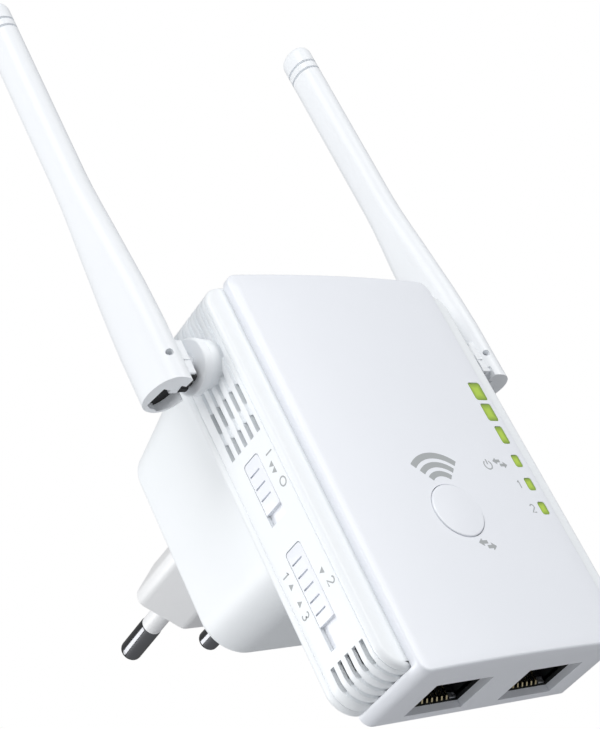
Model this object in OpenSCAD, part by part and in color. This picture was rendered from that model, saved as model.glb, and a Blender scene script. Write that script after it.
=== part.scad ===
// Plug-in wireless range extender with two folding aerials, two network sockets and two side switches.
// Millimetres. +X is right when facing the front, +Y goes back towards the wall, +Z is up.
// The origin is the centre of the plug face, midway between the two mains pins.

/* [Front cover] */
// Width of the raised front cover
cover_w = 44.2; // [36:0.1:54]
// Height of the raised front cover
cover_h = 72.5; // [60:0.1:88]
// How far the cover stands in front of the frame's shoulder at its edges
cover_step = 1.5; // [1:0.1:3]
// How far the front face bows out at its middle
cover_bow = 0.78; // [0.2:0.02:2]
// Radius of the cover's corners
cover_r = 2.2; // [0.8:0.1:5]
// Thickness of the bottom wall that carries the sockets
floor_t = 1.8; // [1.2:0.1:3]

/* [Frame] */
// Width of the ribbed frame
frame_w = 52.7; // [44:0.1:64]
// How far the frame's top lies below the cover's top
frame_drop = 1.3; // [0:0.1:4]
// Depth of the frame and back plate together, measured from the front face's edge
frame_d = 15.7; // [13:0.1:20]
// Thickness of the frame walls
frame_t = 1.5; // [1:0.1:2.5]
// Radius of the frame's top corners
frame_rt = 3.8; // [2:0.1:7]
// Radius of the frame's bottom corners
frame_rb = 4.3; // [2:0.1:7]
// Rounding of the frame's front edge
frame_edge = 1.4; // [0.4:0.1:2]
// Distance between the decorative grooves
rib_pitch = 1.93; // [1.5:0.01:2.4]
// Width of each groove
rib_w = 0.6; // [0.3:0.05:1]
// Depth of each groove
rib_depth = 0.5; // [0.2:0.05:0.9]
// Width of the vent slots cut through the side walls
vent_w = 1.0; // [0.6:0.05:1.3]

/* [Power box] */
// Depth of the power box behind the frame
box_d = 26.7; // [20:0.1:34]
// Width of the power box at its rear face
box_w = 39.8; // [34:0.1:43]
// Height of the power box at its rear face
box_h = 40.85; // [34:0.1:46]
// Radius of the power box corners
box_r = 6.7; // [3:0.1:10]
// How much each side of the box spreads towards the frame
box_draft = 3.1; // [1:0.1:4]
// Wall thickness of the power box
box_t = 1.8; // [1.2:0.1:2.6]

/* [Mains plug] */
// Distance from the frame's top down to the plug's centre
plug_below = 23.1; // [22.5:0.1:28]
// Length of the plug block behind the power box
plug_len = 15.1; // [12:0.1:20]
// Width of the plug block
plug_w = 35.3; // [33:0.1:37]
// Height of the plug block
plug_h = 13.7; // [12:0.1:15]
// Distance between the pins at the plug face
pin_base = 18.6; // [18:0.1:19.2]
// Distance between the pins at their tips
pin_tip = 17.5; // [17:0.1:18]
// Length of each pin
pin_len = 19; // [19:0.1:19.5]
// Diameter of each pin's metal end
pin_dia = 4.0; // [3.9:0.05:4.1]
// Diameter of the insulating sleeve
sleeve_dia = 3.6; // [3.5:0.05:3.65]
// Length of the insulating sleeve
sleeve_len = 10; // [9:0.1:11]

/* [Sockets] */
// Width of each network socket opening
jack_w = 11.8; // [11.7:0.05:12.4]
// Front edge of the socket openings, from the front face's edge
jack_y0 = 5.1; // [4.6:0.1:6]
// Depth front to back of the socket openings
jack_h = 8.8; // [8.2:0.1:9]
// Centre of the left socket opening
jack_xl = -9.5; // [-12:0.1:-8]
// Centre of the right socket opening
jack_xr = 10.1; // [8:0.1:12]

/* [Controls] */
// Height of the pairing button's centre
button_z = 25.3; // [22:0.1:28]
// Diameter of the pairing button
button_dia = 9.2; // [7:0.1:12]
// Travel of the pairing button
button_travel = 0.3; // [0.2:0.05:0.4]
// Front edge of both slide switch windows
switch_y0 = 6.35; // [5.5:0.05:7]
// Width front to back of both slide switch windows
switch_wd = 4.1; // [3.4:0.1:4.6]
// Top of the power switch window
power_top = 42.7; // [40:0.1:43.5]
// Height of the power switch window
power_h = 11.1; // [9.5:0.1:12]
// Travel of the power switch
power_travel = 1.9; // [1.5:0.1:2.2]
// Top of the mode switch window
mode_top = 26.85; // [25:0.1:28]
// Height of the mode switch window
mode_h = 16.75; // [15:0.1:18]
// Travel of the mode switch over its three positions
mode_travel = 3.8; // [3:0.1:4]
// Distance of the signal windows' centre line from the cover's right edge
lamp_inset = 2.5; // [2.2:0.1:4]

/* [Aerials] */
// Distance of each aerial's centre line from the frame's side wall
aerial_out = 8.05; // [7.4:0.05:11]
// Front to back position of the pivots
hub_y = 7.9; // [7.4:0.1:9.8]
// Distance from the frame's top down to the pivots
hub_below = 10.6; // [8:0.1:16]
// Diameter of the round pivot bosses on the frame
hub_dia = 7.8; // [7.2:0.1:9]
// Length of the pivot bosses
hub_len = 2.6; // [2:0.1:4]
// Distance from pivot to aerial tip
aerial_len = 79.4; // [60:0.1:110]
// Front to back width of the aerial's lower end
aerial_wide = 11; // [9.5:0.1:13]
// Front to back width of the aerial's upper part
aerial_slim = 6.6; // [5.6:0.1:8]
// Thickness of the aerial's lower end
aerial_thick = 6; // [5.2:0.1:7]
// How far the aerial reaches below the pivot
aerial_drop = 3.5; // [3:0.1:5]
// How far the blade's centre lies behind the pivot
aerial_back = 2.2; // [0:0.1:3]
// How far the foot dips at its front
foot_dip = 1.7; // [0:0.1:2.5]
// How far the round ear is set back from the pivot
ear_back = 0.85; // [0:0.05:1.5]

/* [Hidden] */
$fn = 64;
slide_gap = 0.1;
shaft_gap = 0.05;
cap_gap = 0.33;
fit_gap = 0.1;
ring_depth = 0.5;
ring_w = 1.2;
cut = 1;
half = frame_w / 2;
frame_top = cover_h - frame_drop;
plug_z = frame_top - plug_below;
hub_z = frame_top - hub_below;
aerial_x = half + aerial_out;
in_x = half - frame_t;
plate_t = 1.5;
split_y = frame_d - plate_t - 0.15;
plate_in = frame_d - plate_t;
lip_in = 1.0;
lip_t = 1.0;
lip_top = frame_top - frame_t - 0.7;
opening_in = 0.9;
post_r = 2;
screw_r = 1.0;
bow_fn = 1440;
dome_fn = 128;
oval_fn = 40;
box_shift = 0.33;
box_end = 1.3;
box_end_in = 0.9;
slab_t = 0.1;
pin_hole = 0.6;
plug_slope = 6.6;
plug_flat = 1;
jack_wall = 1.4;
jack_tall = 16;
jack_deep = 12.5;
contact_pitch = 1.02;
contact_r = 0.2;
grip_r = 0.25;
flange_y = cover_step + 0.45;
coax_x = 14;
cable_r = 1.3;
box_back = frame_d + box_d;
face_y = box_back + plug_len;
lamp_x = cover_w / 2 - lamp_inset;
board_y = cover_step + frame_t + 0.1;
board_t = 1.2;
board_back = board_y + board_t;
panel_lo = 8.25;
panel_hi = 44.8;
vent_rows = [[50.15, 3.75], [44.8, 3.2], [4.4, 3.85]];
rib_y0 = 4.0;
bow_r = (pow(cover_w / 2, 2) + pow(cover_bow, 2)) / (2 * cover_bow);
lamps = [[48.45, 2.9, 3.7], [44.1, 2.55, 3.6], [39.45, 1.9, 3.6],
         [34.2, 1.8, 2.5], [29.6, 1.8, 2.5], [24.9, 1.8, 2.5]];
pin_tilt = atan((pin_base - pin_tip) / 2 / pin_len);
pcb_y = box_back - box_t - 3.2;
sw_mid = switch_y0 + switch_wd / 2;
shaft_dia = 5.2;
boss_in_r = min(hub_dia / 2, split_y - hub_y - 0.75);
ear_dia = hub_dia + 1.3;
ear_t = 1.3;
neck_w = 5.2;
neck_x = half + 4.95;
neck_top = 2.9;
ear_x0 = half + hub_len + 0.05;
ear_x1 = aerial_x - 0.8;
aerial_y = hub_y + aerial_back;
screw_x = cover_w / 2 - 4.8;
screw_z = frame_top - 7.4;

// ---- helpers -------------------------------------------------------------
module place() translate([0, -face_y, -plug_z]) children();

module along_y(y0, y1) translate([0, y1, 0]) rotate([90, 0, 0]) linear_extrude(height = y1 - y0) children();

module along_x(x0, x1)
    translate([x0, 0, 0]) rotate([90, 0, 90]) linear_extrude(height = x1 - x0) children();

module block(x0, x1, y0, y1, z0, z1) translate([x0, y0, z0]) cube([x1 - x0, y1 - y0, z1 - z0]);

// rounded outline with its own top and bottom corner radii; exact arcs
module outline(hw, z0, z1, rt, rb) {
    polygon([[-hw + rb, z0], [hw - rb, z0], [hw, z0 + rb], [hw, z1 - rt],
             [hw - rt, z1], [-hw + rt, z1], [-hw, z1 - rt], [-hw, z0 + rb]]);
    for (s = [-1, 1]) {
        translate([s * (hw - rt), z1 - rt]) circle(rt);
        translate([s * (hw - rb), z0 + rb]) circle(rb);
    }
}

module pill(w, h, r) translate([0, -h / 2]) outline(w / 2, 0, h, r, r);

// ---- front cover ---------------------------------------------------------
module front_cover() place() color([0.93, 0.93, 0.93]) difference() {
    union() {
        intersection() {
            along_y(-cover_bow - cut, cover_step) outline(cover_w / 2, 0, cover_h, cover_r, cover_r);
            translate([0, bow_r - cover_bow, -cut])
                cylinder(r = bow_r, h = cover_h + 2 * cut, $fn = bow_fn);
        }
        block(-cover_w / 2, cover_w / 2, cover_step - 0.2, frame_d, 0, floor_t);
        // locating lip that enters the frame's front opening
        difference() {
            along_y(cover_step - 0.2, cover_step + 1.2)
                outline(cover_w / 2 - lip_in, floor_t - 0.2, lip_top, 1.5, 1.5);
            along_y(cover_step - 0.4, cover_step + 1.4)
                outline(cover_w / 2 - lip_in - lip_t, floor_t - 0.2 + lip_t, lip_top - lip_t, 1, 1);
        }
        for (s = [-1, 1]) along_y(cover_step - 0.2, board_y)
            translate([s * screw_x, screw_z]) circle(post_r);
    }
    for (s = [-1, 1]) along_y(0.8, board_y + cut)
        translate([s * screw_x, screw_z]) circle(screw_r + shaft_gap);
    for (x = [jack_xl, jack_xr])
        block(x - jack_w / 2, x + jack_w / 2, jack_y0, jack_y0 + jack_h, -cut, floor_t + 1.2);
    for (l = lamps)
        along_y(-cover_bow - cut, cover_step + cut) translate([lamp_x, l[0]]) pill(l[1], l[2], 0.5);
    along_y(-cover_bow - cut, cover_step + cut) translate([0, button_z]) circle(button_dia / 2 + cap_gap);
    // relief on the lip behind the signal windows
    block(lamp_x - 2.4, lamp_x + 2.4, cover_step, cover_step + 2, lamps[5][0] - 3, lamps[0][0] + 3.2);
}

// ---- ribbed frame --------------------------------------------------------
module frame_outline(inset) outline(half - inset, floor_t + inset, frame_top - inset,
                                    frame_rt - inset * 0.5, frame_rb - inset * 0.5);

module mid_frame() place() color([0.95, 0.95, 0.95]) difference() {
    union() {
        difference() {
            intersection() {
                along_y(cover_step, split_y) frame_outline(0);
                translate([0, 0, -cut]) linear_extrude(height = frame_top + 2 * cut)
                    translate([0, cover_step]) outline(half, 0, split_y, 0.3, frame_edge);
            }
            // inner room, front opening and open bottom
            along_y(cover_step + frame_t, split_y + cut) frame_outline(frame_t);
            along_y(cover_step - cut, cover_step + frame_t + cut)
                outline(cover_w / 2 - opening_in, floor_t - cut, lip_top + fit_gap, 1.5, 0.3);
            block(-cover_w / 2 + opening_in, cover_w / 2 - opening_in,
                cover_step - cut, split_y + cut, 0, floor_t + 4);
            // decorative grooves over the top and round the bottom corners
            for (i = [0:4]) difference() {
                block(-half - cut, half + cut, rib_y0 + i * rib_pitch - rib_w / 2,
                      rib_y0 + i * rib_pitch + rib_w / 2, 0, frame_top + cut);
                along_y(0, frame_d) frame_outline(rib_depth);
                block(-half - 2 * cut, half + 2 * cut, 0, frame_d, panel_lo, panel_hi);
            }
        }
        // pivot bosses, smaller inside so that they clear the back plate
        for (s = [-1, 1]) {
            along_x(s > 0 ? half : -half - hub_len, s > 0 ? half + hub_len : -half)
                translate([hub_y, hub_z]) circle(hub_dia / 2);
            along_x(s > 0 ? in_x - 1.5 : -half - 0.1, s > 0 ? half + 0.1 : -in_x + 1.5)
                translate([hub_y, hub_z]) circle(boss_in_r);
        }
    }
    along_x(-half - hub_len - cut, half + hub_len + cut)
        translate([hub_y, hub_z]) circle(shaft_dia / 2 + shaft_gap);
    // vent slots through the side walls
    for (i = [0:4], r = vent_rows) {
        y = rib_y0 + i * rib_pitch;
        block(-half - cut, -in_x + cut, y - vent_w / 2, y + vent_w / 2, r[0], r[0] + r[1]);
        block(in_x - cut, half + cut, y - vent_w / 2, y + vent_w / 2, r[0], r[0] + r[1]);
    }
    // slide switch windows in the left wall
    block(-half - cut, -in_x + 0.6, switch_y0, switch_y0 + switch_wd, power_top - power_h, power_top);
    block(-half - cut, -in_x + 0.6, switch_y0, switch_y0 + switch_wd, mode_top - mode_h, mode_top);
}

// ---- back plate with the drafted power box ---------------------------------
module box_slab(y, grow) along_y(y, y + slab_t) translate([0, plug_z - box_shift])
    outline(box_w / 2 + grow, -box_h / 2 - grow, box_h / 2 + grow, box_r, box_r);

module rear_housing() place() color([0.9, 0.9, 0.9]) difference() {
    union() {
        intersection() {
            along_y(split_y, frame_d) frame_outline(0);
            block(-half - cut, half + cut, 0, frame_d + cut, floor_t, frame_top + cut);
        }
        hull() {
            box_slab(frame_d - 0.5, box_draft);
            box_slab(box_back - box_end, 0);
            box_slab(box_back - slab_t, -box_end_in);
        }
    }
    along_y(split_y - cut, plate_in) frame_outline(frame_t);
    block(-cover_w / 2, cover_w / 2, split_y - cut, plate_in, 0, floor_t + 3);
    hull() {
        box_slab(plate_in - 0.4, box_draft - box_t);
        box_slab(box_back - box_t - slab_t, -box_t);
    }
    for (s = [-1, 1])
        along_y(box_back - box_t - cut, box_back + cut)
            translate([s * pin_base / 2, plug_z]) circle(pin_dia / 2 + pin_hole);
}

// ---- plug ------------------------------------------------------------------
module plug_shape() {
    a = plug_w / 2;
    b = plug_h / 2;
    c = a - plug_slope;
    f = plug_flat;
    polygon([[-a, -f], [-c, -b], [c, -b], [a, -f], [a, f], [c, b], [-c, b], [-a, f]]);
}

module plug_block() place() color([0.9, 0.9, 0.9]) difference() {
    along_y(box_back, face_y) translate([0, plug_z]) plug_shape();
    for (s = [-1, 1]) pin_place(s) {
        cylinder(d = sleeve_dia + 0.1, h = plug_len + 2 * cut);
        translate([0, 0, -0.5]) cylinder(d = pin_dia + 1.4, h = 3.5);
        // shallow ring round each pin at the face
        translate([0, 0, plug_len - ring_depth]) cylinder(d = sleeve_dia + ring_w, h = ring_depth + cut);
    }
}

// pin axis runs from inside the power box out to the tip, leaning slightly inwards
module pin_place(s) translate([s * (pin_base / 2), face_y, plug_z]) rotate([-90, 0, s * pin_tilt])
    translate([0, 0, -plug_len]) children();

module pin_one(s) place() color([0.75, 0.75, 0.76]) pin_place(s) {
    translate([0, 0, -3.6]) cylinder(d = sleeve_dia - 0.8, h = plug_len + pin_len - 2);
    translate([0, 0, 0.4]) cylinder(d = pin_dia + 1, h = 1.8);
    translate([0, 0, plug_len + sleeve_len]) cylinder(d = pin_dia, h = pin_len - sleeve_len - 1);
    translate([0, 0, plug_len + pin_len - 1]) cylinder(d1 = pin_dia, d2 = pin_dia - 1.4, h = 1);
}

module sleeve_one(s) place() color([0.92, 0.92, 0.92]) pin_place(s) difference() {
    translate([0, 0, 3]) cylinder(d = sleeve_dia, h = plug_len + sleeve_len - 3);
    translate([0, 0, 2]) cylinder(d = sleeve_dia - 0.7, h = plug_len + sleeve_len);
}

module pin_left() pin_one(-1);
module pin_right() pin_one(1);
module sleeve_left() sleeve_one(-1);
module sleeve_right() sleeve_one(1);

// ---- boards ------------------------------------------------------------------
module main_board() place() color([0.1, 0.35, 0.2]) difference() {
    block(-in_x + 1.2, in_x - 1.2, board_y, board_back, floor_t + 2.4, frame_top - frame_t - 3.5);
    for (s = [-1, 1]) along_y(board_y - cut, board_back + cut)
        translate([s * screw_x, screw_z]) circle(1.1);
    for (s = [-1, 1]) block(s > 0 ? in_x - 2.9 : -in_x - cut, s > 0 ? in_x + cut : -in_x + 2.9,
                            board_y - cut, board_back + cut,
                            hub_z - hub_dia / 2 - 0.5, hub_z + hub_dia / 2 + 0.5);
}

module power_board() place() color([0.15, 0.4, 0.25]) difference() {
    block(-box_w / 2 + 4.5, box_w / 2 - 4.5, pcb_y, pcb_y + 1.4,
        plug_z - box_h / 2 + 4.5, plug_z + box_h / 2 - 5);
    for (s = [-1, 1]) along_y(pcb_y - cut, pcb_y + 2 + cut)
        translate([s * (pin_base / 2 + 0.4), plug_z]) circle(1.9);
}

module board_screws() place() color([0.7, 0.7, 0.72]) for (s = [-1, 1]) {
    along_y(board_back, board_back + 1.2) translate([s * screw_x, screw_z]) circle(1.9);
    along_y(1, board_back + 0.2) translate([s * screw_x, screw_z]) circle(1.0);
}

// ---- network sockets ---------------------------------------------------------
module jack_one(x) place() color([0.1, 0.1, 0.1]) difference() {
    block(x - jack_w / 2 - jack_wall, x + jack_w / 2 + jack_wall, board_back, plate_in - 0.05,
          floor_t, floor_t + jack_tall);
    block(x - jack_w / 2, x + jack_w / 2, jack_y0, jack_y0 + jack_h, floor_t - cut, floor_t + jack_deep);
    block(x - 4.2, x + 4.2, jack_y0 + jack_h - 1, jack_y0 + jack_h + 0.01, floor_t + 9, floor_t + 14);
}

module contacts_one(x) place() color([0.85, 0.7, 0.3]) for (i = [0:7]) {
    cx = x + (i - 3.5) * contact_pitch;
    rear = jack_y0 + jack_h;
    block(cx - contact_r, cx + contact_r, rear - 0.9, rear - 0.5, floor_t + 1.2, floor_t + jack_deep);
    block(cx - contact_r, cx + contact_r, rear - 1.7, rear - 0.5, floor_t + 4.8, floor_t + 5.4);
}

module jack_left() jack_one(jack_xl);
module jack_right() jack_one(jack_xr);
module jack_contacts_left() contacts_one(jack_xl);
module jack_contacts_right() contacts_one(jack_xr);

// ---- pairing button, lamps ----------------------------------------------------
module pair_button() place() color([0.94, 0.94, 0.94]) translate([0, 0, button_z]) {
    along_y(-cover_bow - 0.35, cover_step + 0.15) circle(button_dia / 2);
    along_y(flange_y - 0.4, flange_y) circle(button_dia / 2 + 0.9);
}

module dome_switch() place() color([0.75, 0.75, 0.75]) translate([0, 0, button_z]) {
    along_y(board_y - 0.5, board_y) circle(2.6, $fn = dome_fn);
    along_y(flange_y + button_travel, board_y - 0.3) circle(1.5, $fn = dome_fn);
}

module light_guides() place() color([0.7, 0.85, 0.3]) {
    for (l = lamps)
        along_y(-cover_bow * 0.2 - 0.05, cover_step + 0.35) translate([lamp_x, l[0]])
            pill(l[1] - fit_gap, l[2] - fit_gap, 0.45);
    block(lamp_x - 2, lamp_x + 1.5, cover_step + 0.05, cover_step + 0.6,
        lamps[5][0] - 2, lamps[0][0] + 2.4);
}

module lamp_chips() place() color([0.9, 0.9, 0.7]) for (l = lamps)
    block(lamp_x - 0.8, lamp_x + 0.8, board_y - 0.7, board_y, l[0] - 0.5, l[0] + 0.5);

// ---- slide switches -------------------------------------------------------------
module slider(top, h, travel, grips) {
    low = top - (h - travel) + 2 * slide_gap;
    difference() {
        block(-half - 0.2, -in_x + 0.15, switch_y0 + slide_gap, switch_y0 + switch_wd - slide_gap,
              low, top - slide_gap);
        for (g = grips) block(-half - 0.5, -half + 0.25, switch_y0 + 0.9, switch_y0 + switch_wd - 0.5,
                              top - g - grip_r, top - g + grip_r);
    }
    block(-in_x + 0.1, -in_x + 0.9, switch_y0 - 0.8, switch_y0 + switch_wd + 0.8, low - 1, top + 0.8);
    translate([0, 0, top - h / 2 + travel / 2])
        block(-in_x + 0.9, -in_x + 2.2, sw_mid - 0.5, sw_mid + 0.5, -0.6, 0.6);
}

module switch_body(top, h, travel) difference() {
    reach = travel / 2;
    mid = top - h / 2;
    block(-in_x + 1.1, -in_x + 5, board_back, sw_mid + 2.1, mid - 3.2 - reach, mid + 3.2 + reach);
    block(-in_x + 1, -in_x + 2.6, sw_mid - 0.7, sw_mid + 0.7, mid - 0.9 - reach, mid + 0.9 + reach);
}

module power_slider() place() color([0.93, 0.93, 0.93])
    slider(power_top, power_h, power_travel, [2.4, 4.65, 6.7]);
module power_switch_body() place() color([0.7, 0.7, 0.7]) switch_body(power_top, power_h, power_travel);
module mode_slider() place() color([0.93, 0.93, 0.93])
    slider(mode_top, mode_h, mode_travel, [2.35, 4.55, 6.65, 8.8, 10.9]);
module mode_switch_body() place() color([0.7, 0.7, 0.7]) switch_body(mode_top, mode_h, mode_travel);

// ---- inner electronics --------------------------------------------------------------
module on_axis() translate([0, 0, plug_z]) children();

module rf_shield() place() color([0.7, 0.7, 0.72]) difference() {
    block(-10, 10, board_back, board_back + 2.6, 34, 52);
    block(-9.6, 9.6, board_back - cut, board_back + 2.2, 34.4, 51.6);
}
module processor() place() color([0.12, 0.12, 0.12]) block(-6, 6, board_back, board_back + 1.1, 37, 49);
module heat_pad() place() color([0.5, 0.55, 0.6])
    block(-5.5, 5.5, board_back + 1.1, board_back + 2.2, 37.5, 48.5);
module transformer_core() place() on_axis() color([0.2, 0.2, 0.2]) difference() {
    block(-9, 8, pcb_y - 15.5, pcb_y - 0.5, 4.4, 16.4);
    block(-6.5, -2.5, pcb_y - 12.5, pcb_y - 3.5, 3.9, 16.9);
    block(1.5, 5.5, pcb_y - 12.5, pcb_y - 3.5, 3.9, 16.9);
}
module transformer_winding() place() on_axis() color([0.85, 0.75, 0.2]) difference() {
    block(-6.4, 5.4, pcb_y - 12.4, pcb_y - 3.6, 2.7, 17.9);
    block(-2.6, 1.6, pcb_y - 12.6, pcb_y - 3.4, 4.3, 16.5);
}
module bulk_capacitor() place() on_axis() color([0.15, 0.2, 0.3])
    along_y(pcb_y - 16, pcb_y - 0.2) translate([8, -9.1]) circle(5);
module output_capacitor() place() on_axis() color([0.15, 0.2, 0.3])
    along_y(pcb_y - 13, pcb_y - 0.2) translate([-10, -10.1]) circle(4);
module rectifier() place() on_axis() color([0.1, 0.1, 0.1]) block(-3.5, 1.5, pcb_y - 3, pcb_y, -12.1, -6.1);
module fuse() place() on_axis() color([0.5, 0.3, 0.2]) along_y(pcb_y - 8, pcb_y - 0.1)
    translate([-2, -1.3]) circle(2.2);
module board_header() place() on_axis() color([0.2, 0.2, 0.2]) {
    block(-12, -4, board_back, board_back + 3, 6.9, 9.9);
    for (i = [0:3]) block(-11.3 + i * 2, -10.7 + i * 2, board_back + 3, pcb_y - 15.8, 8.1, 8.7);
}

// ---- aerials --------------------------------------------------------------------------
module oval(z, wide, thick, t)
    translate([0, 0, z]) linear_extrude(height = t) scale([thick, wide]) circle(0.5, $fn = oval_fn);

module aerial_shell(s) {
    tip = aerial_len;
    shoulder = aerial_len * 0.455;
    difference() {
        union() {
            translate([s * aerial_x, aerial_y, hub_z]) {
                hull() {
                    oval(-aerial_drop - foot_dip, aerial_wide, aerial_thick, 0.1);
                    oval(shoulder * 0.2, aerial_wide * 0.99, aerial_thick, 0.1);
                    oval(shoulder * 0.45, aerial_wide * 0.93, aerial_thick * 0.96, 0.1);
                    oval(shoulder, aerial_slim * 1.04, aerial_thick * 0.87, 0.1);
                }
                hull() {
                    oval(shoulder - 0.5, aerial_slim * 1.04, aerial_thick * 0.87, 0.1);
                    oval(shoulder + 5, aerial_slim, aerial_thick * 0.86, 0.1);
                    oval(tip - 1.2, aerial_slim, aerial_thick * 0.86, 0.1);
                    oval(tip - 0.1, aerial_slim - 1.6, aerial_thick * 0.86 - 1.6, 0.1);
                }
            }
            along_x(s > 0 ? ear_x0 : -ear_x0 - ear_t, s > 0 ? ear_x0 + ear_t : -ear_x0)
                translate([hub_y + ear_back, hub_z]) circle(ear_dia / 2);
            block(s > 0 ? neck_x : -ear_x1, s > 0 ? ear_x1 : -neck_x,
                aerial_y - 4.6, aerial_y - 4.6 + neck_w, hub_z - aerial_drop, hub_z + neck_top);
            along_x(s > 0 ? in_x - 3.4 : -neck_x - 0.5, s > 0 ? neck_x + 0.5 : -in_x + 3.4)
                translate([hub_y, hub_z]) circle(shaft_dia / 2);
        }
        // the foot's underside dips towards the front
        translate([0, aerial_y, hub_z - aerial_drop])
            along_x(s > 0 ? neck_x - 0.5 : -aerial_x - aerial_thick,
                s > 0 ? aerial_x + aerial_thick : -neck_x + 0.5)
            polygon([[aerial_wide, 0], [0.3, 0], [-2.6, -0.35 * foot_dip], [-aerial_wide / 2, -foot_dip],
                [-aerial_wide, -foot_dip - 1], [-aerial_wide, -foot_dip - 3], [aerial_wide, -foot_dip - 3]]);
        // cable way through the pivot and the room for the radiator
        along_x(s > 0 ? in_x - 5 : -aerial_x, s > 0 ? aerial_x : -in_x + 5)
            translate([hub_y, hub_z]) circle(cable_r);
        translate([s * aerial_x, aerial_y, hub_z - aerial_drop - cut])
            cylinder(d = aerial_thick * 0.86 - 2, h = aerial_drop + cut + tip - 5);
        translate([s * aerial_x, aerial_y, hub_z - aerial_drop - cut])
            linear_extrude(height = 1 + aerial_drop * 0.6)
            scale([aerial_thick - 2, aerial_wide - 2.4]) circle(0.5, $fn = oval_fn);
        // groove for the retaining clip
        along_x(s > 0 ? in_x - 2.6 : -in_x + 1.6, s > 0 ? in_x - 1.6 : -in_x + 2.6)
            translate([hub_y, hub_z])
            difference() {
                circle(shaft_dia / 2 + 1);
                circle(shaft_dia / 2 - 0.5);
            }
    }
}

module clip_one(s) place() color([0.6, 0.6, 0.62])
    along_x(s > 0 ? in_x - 2.55 : -in_x + 1.65, s > 0 ? in_x - 1.65 : -in_x + 2.55)
        translate([hub_y, hub_z])
        difference() {
            circle(shaft_dia / 2 + 1.2);
            circle(shaft_dia / 2 - 0.45);
        }

module radiator_one(s) place() color([0.8, 0.6, 0.3]) translate([s * aerial_x, aerial_y, hub_z]) {
    translate([0, 0, 2]) cylinder(d = 1.6, h = aerial_len * 0.5);
    translate([0, 0, aerial_len * 0.3]) cylinder(d = 2.6, h = aerial_len * 0.34);
    translate([0, 0, aerial_len * 0.6]) cylinder(d = 0.9, h = aerial_len * 0.28);
}

module coax_one(s) place() color([0.15, 0.15, 0.15]) {
    inner = coax_x - 0.8;
    outer = in_x - 3.6;
    along_x(s > 0 ? inner : -outer, s > 0 ? outer : -inner) translate([hub_y, hub_z]) circle(0.55);
    along_y(board_back, hub_y + 1) translate([s * coax_x, hub_z]) circle(0.65);
    along_y(board_back, board_back + 1.4) translate([s * coax_x, hub_z]) circle(1.2);
}

module aerial_left() place() color([0.93, 0.93, 0.93]) aerial_shell(-1);
module aerial_right() place() color([0.93, 0.93, 0.93]) aerial_shell(1);
module radiator_left() radiator_one(-1);
module radiator_right() radiator_one(1);
module pivot_clip_left() clip_one(-1);
module pivot_clip_right() clip_one(1);
module coax_left() coax_one(-1);
module coax_right() coax_one(1);

// ---- draw -------------------------------------------------------------------------------
front_cover();
mid_frame();
rear_housing();
plug_block();
pin_left();
pin_right();
sleeve_left();
sleeve_right();
main_board();
power_board();
jack_left();
jack_right();
jack_contacts_left();
jack_contacts_right();
pair_button();
dome_switch();
light_guides();
lamp_chips();
power_switch_body();
power_slider();
mode_switch_body();
mode_slider();
rf_shield();
processor();
heat_pad();
transformer_core();
transformer_winding();
bulk_capacitor();
output_capacitor();
rectifier();
fuse();
board_header();
aerial_left();
aerial_right();
radiator_left();
radiator_right();
pivot_clip_left();
pivot_clip_right();
coax_left();
coax_right();
board_screws();
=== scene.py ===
"""Plug-in wireless range extender, built round its packed construction model.

Sizes below are millimetres in the maker's frame: x from the middle, y back from the front face's
edge, z up from the bottom face. at() moves them into the shared frame, in metres.
"""

import math

import bmesh
import bpy
from mathutils import Matrix, Vector
from mathutils.geometry import delaunay_2d_cdt


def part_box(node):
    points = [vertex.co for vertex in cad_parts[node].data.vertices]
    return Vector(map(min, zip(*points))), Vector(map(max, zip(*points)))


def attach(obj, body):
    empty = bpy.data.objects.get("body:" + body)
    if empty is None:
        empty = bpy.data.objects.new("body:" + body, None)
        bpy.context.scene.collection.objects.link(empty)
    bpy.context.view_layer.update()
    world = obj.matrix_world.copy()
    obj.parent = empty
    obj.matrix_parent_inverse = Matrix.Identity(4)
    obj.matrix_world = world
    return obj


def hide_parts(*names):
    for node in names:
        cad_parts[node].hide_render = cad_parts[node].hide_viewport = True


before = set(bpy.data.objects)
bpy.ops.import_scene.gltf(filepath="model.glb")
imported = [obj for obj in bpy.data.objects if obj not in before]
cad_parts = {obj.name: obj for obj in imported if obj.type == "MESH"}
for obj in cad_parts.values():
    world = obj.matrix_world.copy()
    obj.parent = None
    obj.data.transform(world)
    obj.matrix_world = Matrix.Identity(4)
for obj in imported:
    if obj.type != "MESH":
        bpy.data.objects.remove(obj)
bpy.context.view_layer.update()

MM = 0.001
FRAME_D = 15.7
cover_low, cover_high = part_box("front_cover")
Y_SHIFT = cover_high.y / MM - FRAME_D
Z_SHIFT = cover_low.z / MM

# front cover
COVER_HALF = (cover_high.x - cover_low.x) / MM / 2
COVER_H = (cover_high.z - cover_low.z) / MM
COVER_STEP = 1.5
COVER_BOW = 0.78
COVER_CORNER_TOP = 2.2
COVER_CORNER_LOW = 1.9
FLOOR_T = 1.8
# ribbed frame
_, frame_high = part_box("mid_frame")
back_low, back_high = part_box("rear_housing")
HALF = (back_high.x - back_low.x) / MM / 2
FRAME_TOP = back_high.z / MM - Z_SHIFT
SPLIT_Y = frame_high.y / MM - Y_SHIFT
WALL = 1.5
CORNER_TOP = 3.8
CORNER_LOW = 4.3
# how far the frame reaches in behind the cover, at the sides and at the top
TUCK_SIDE = 0.9
TUCK_TOP = 2.2
GROOVE_FIRST = 4.0
GROOVE_PITCH = 1.93
GROOVE_COUNT = 5
VENT_HALF = 0.45
# foot and head of the flat panel on each side
PANEL = (8.25, 44.8)
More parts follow.
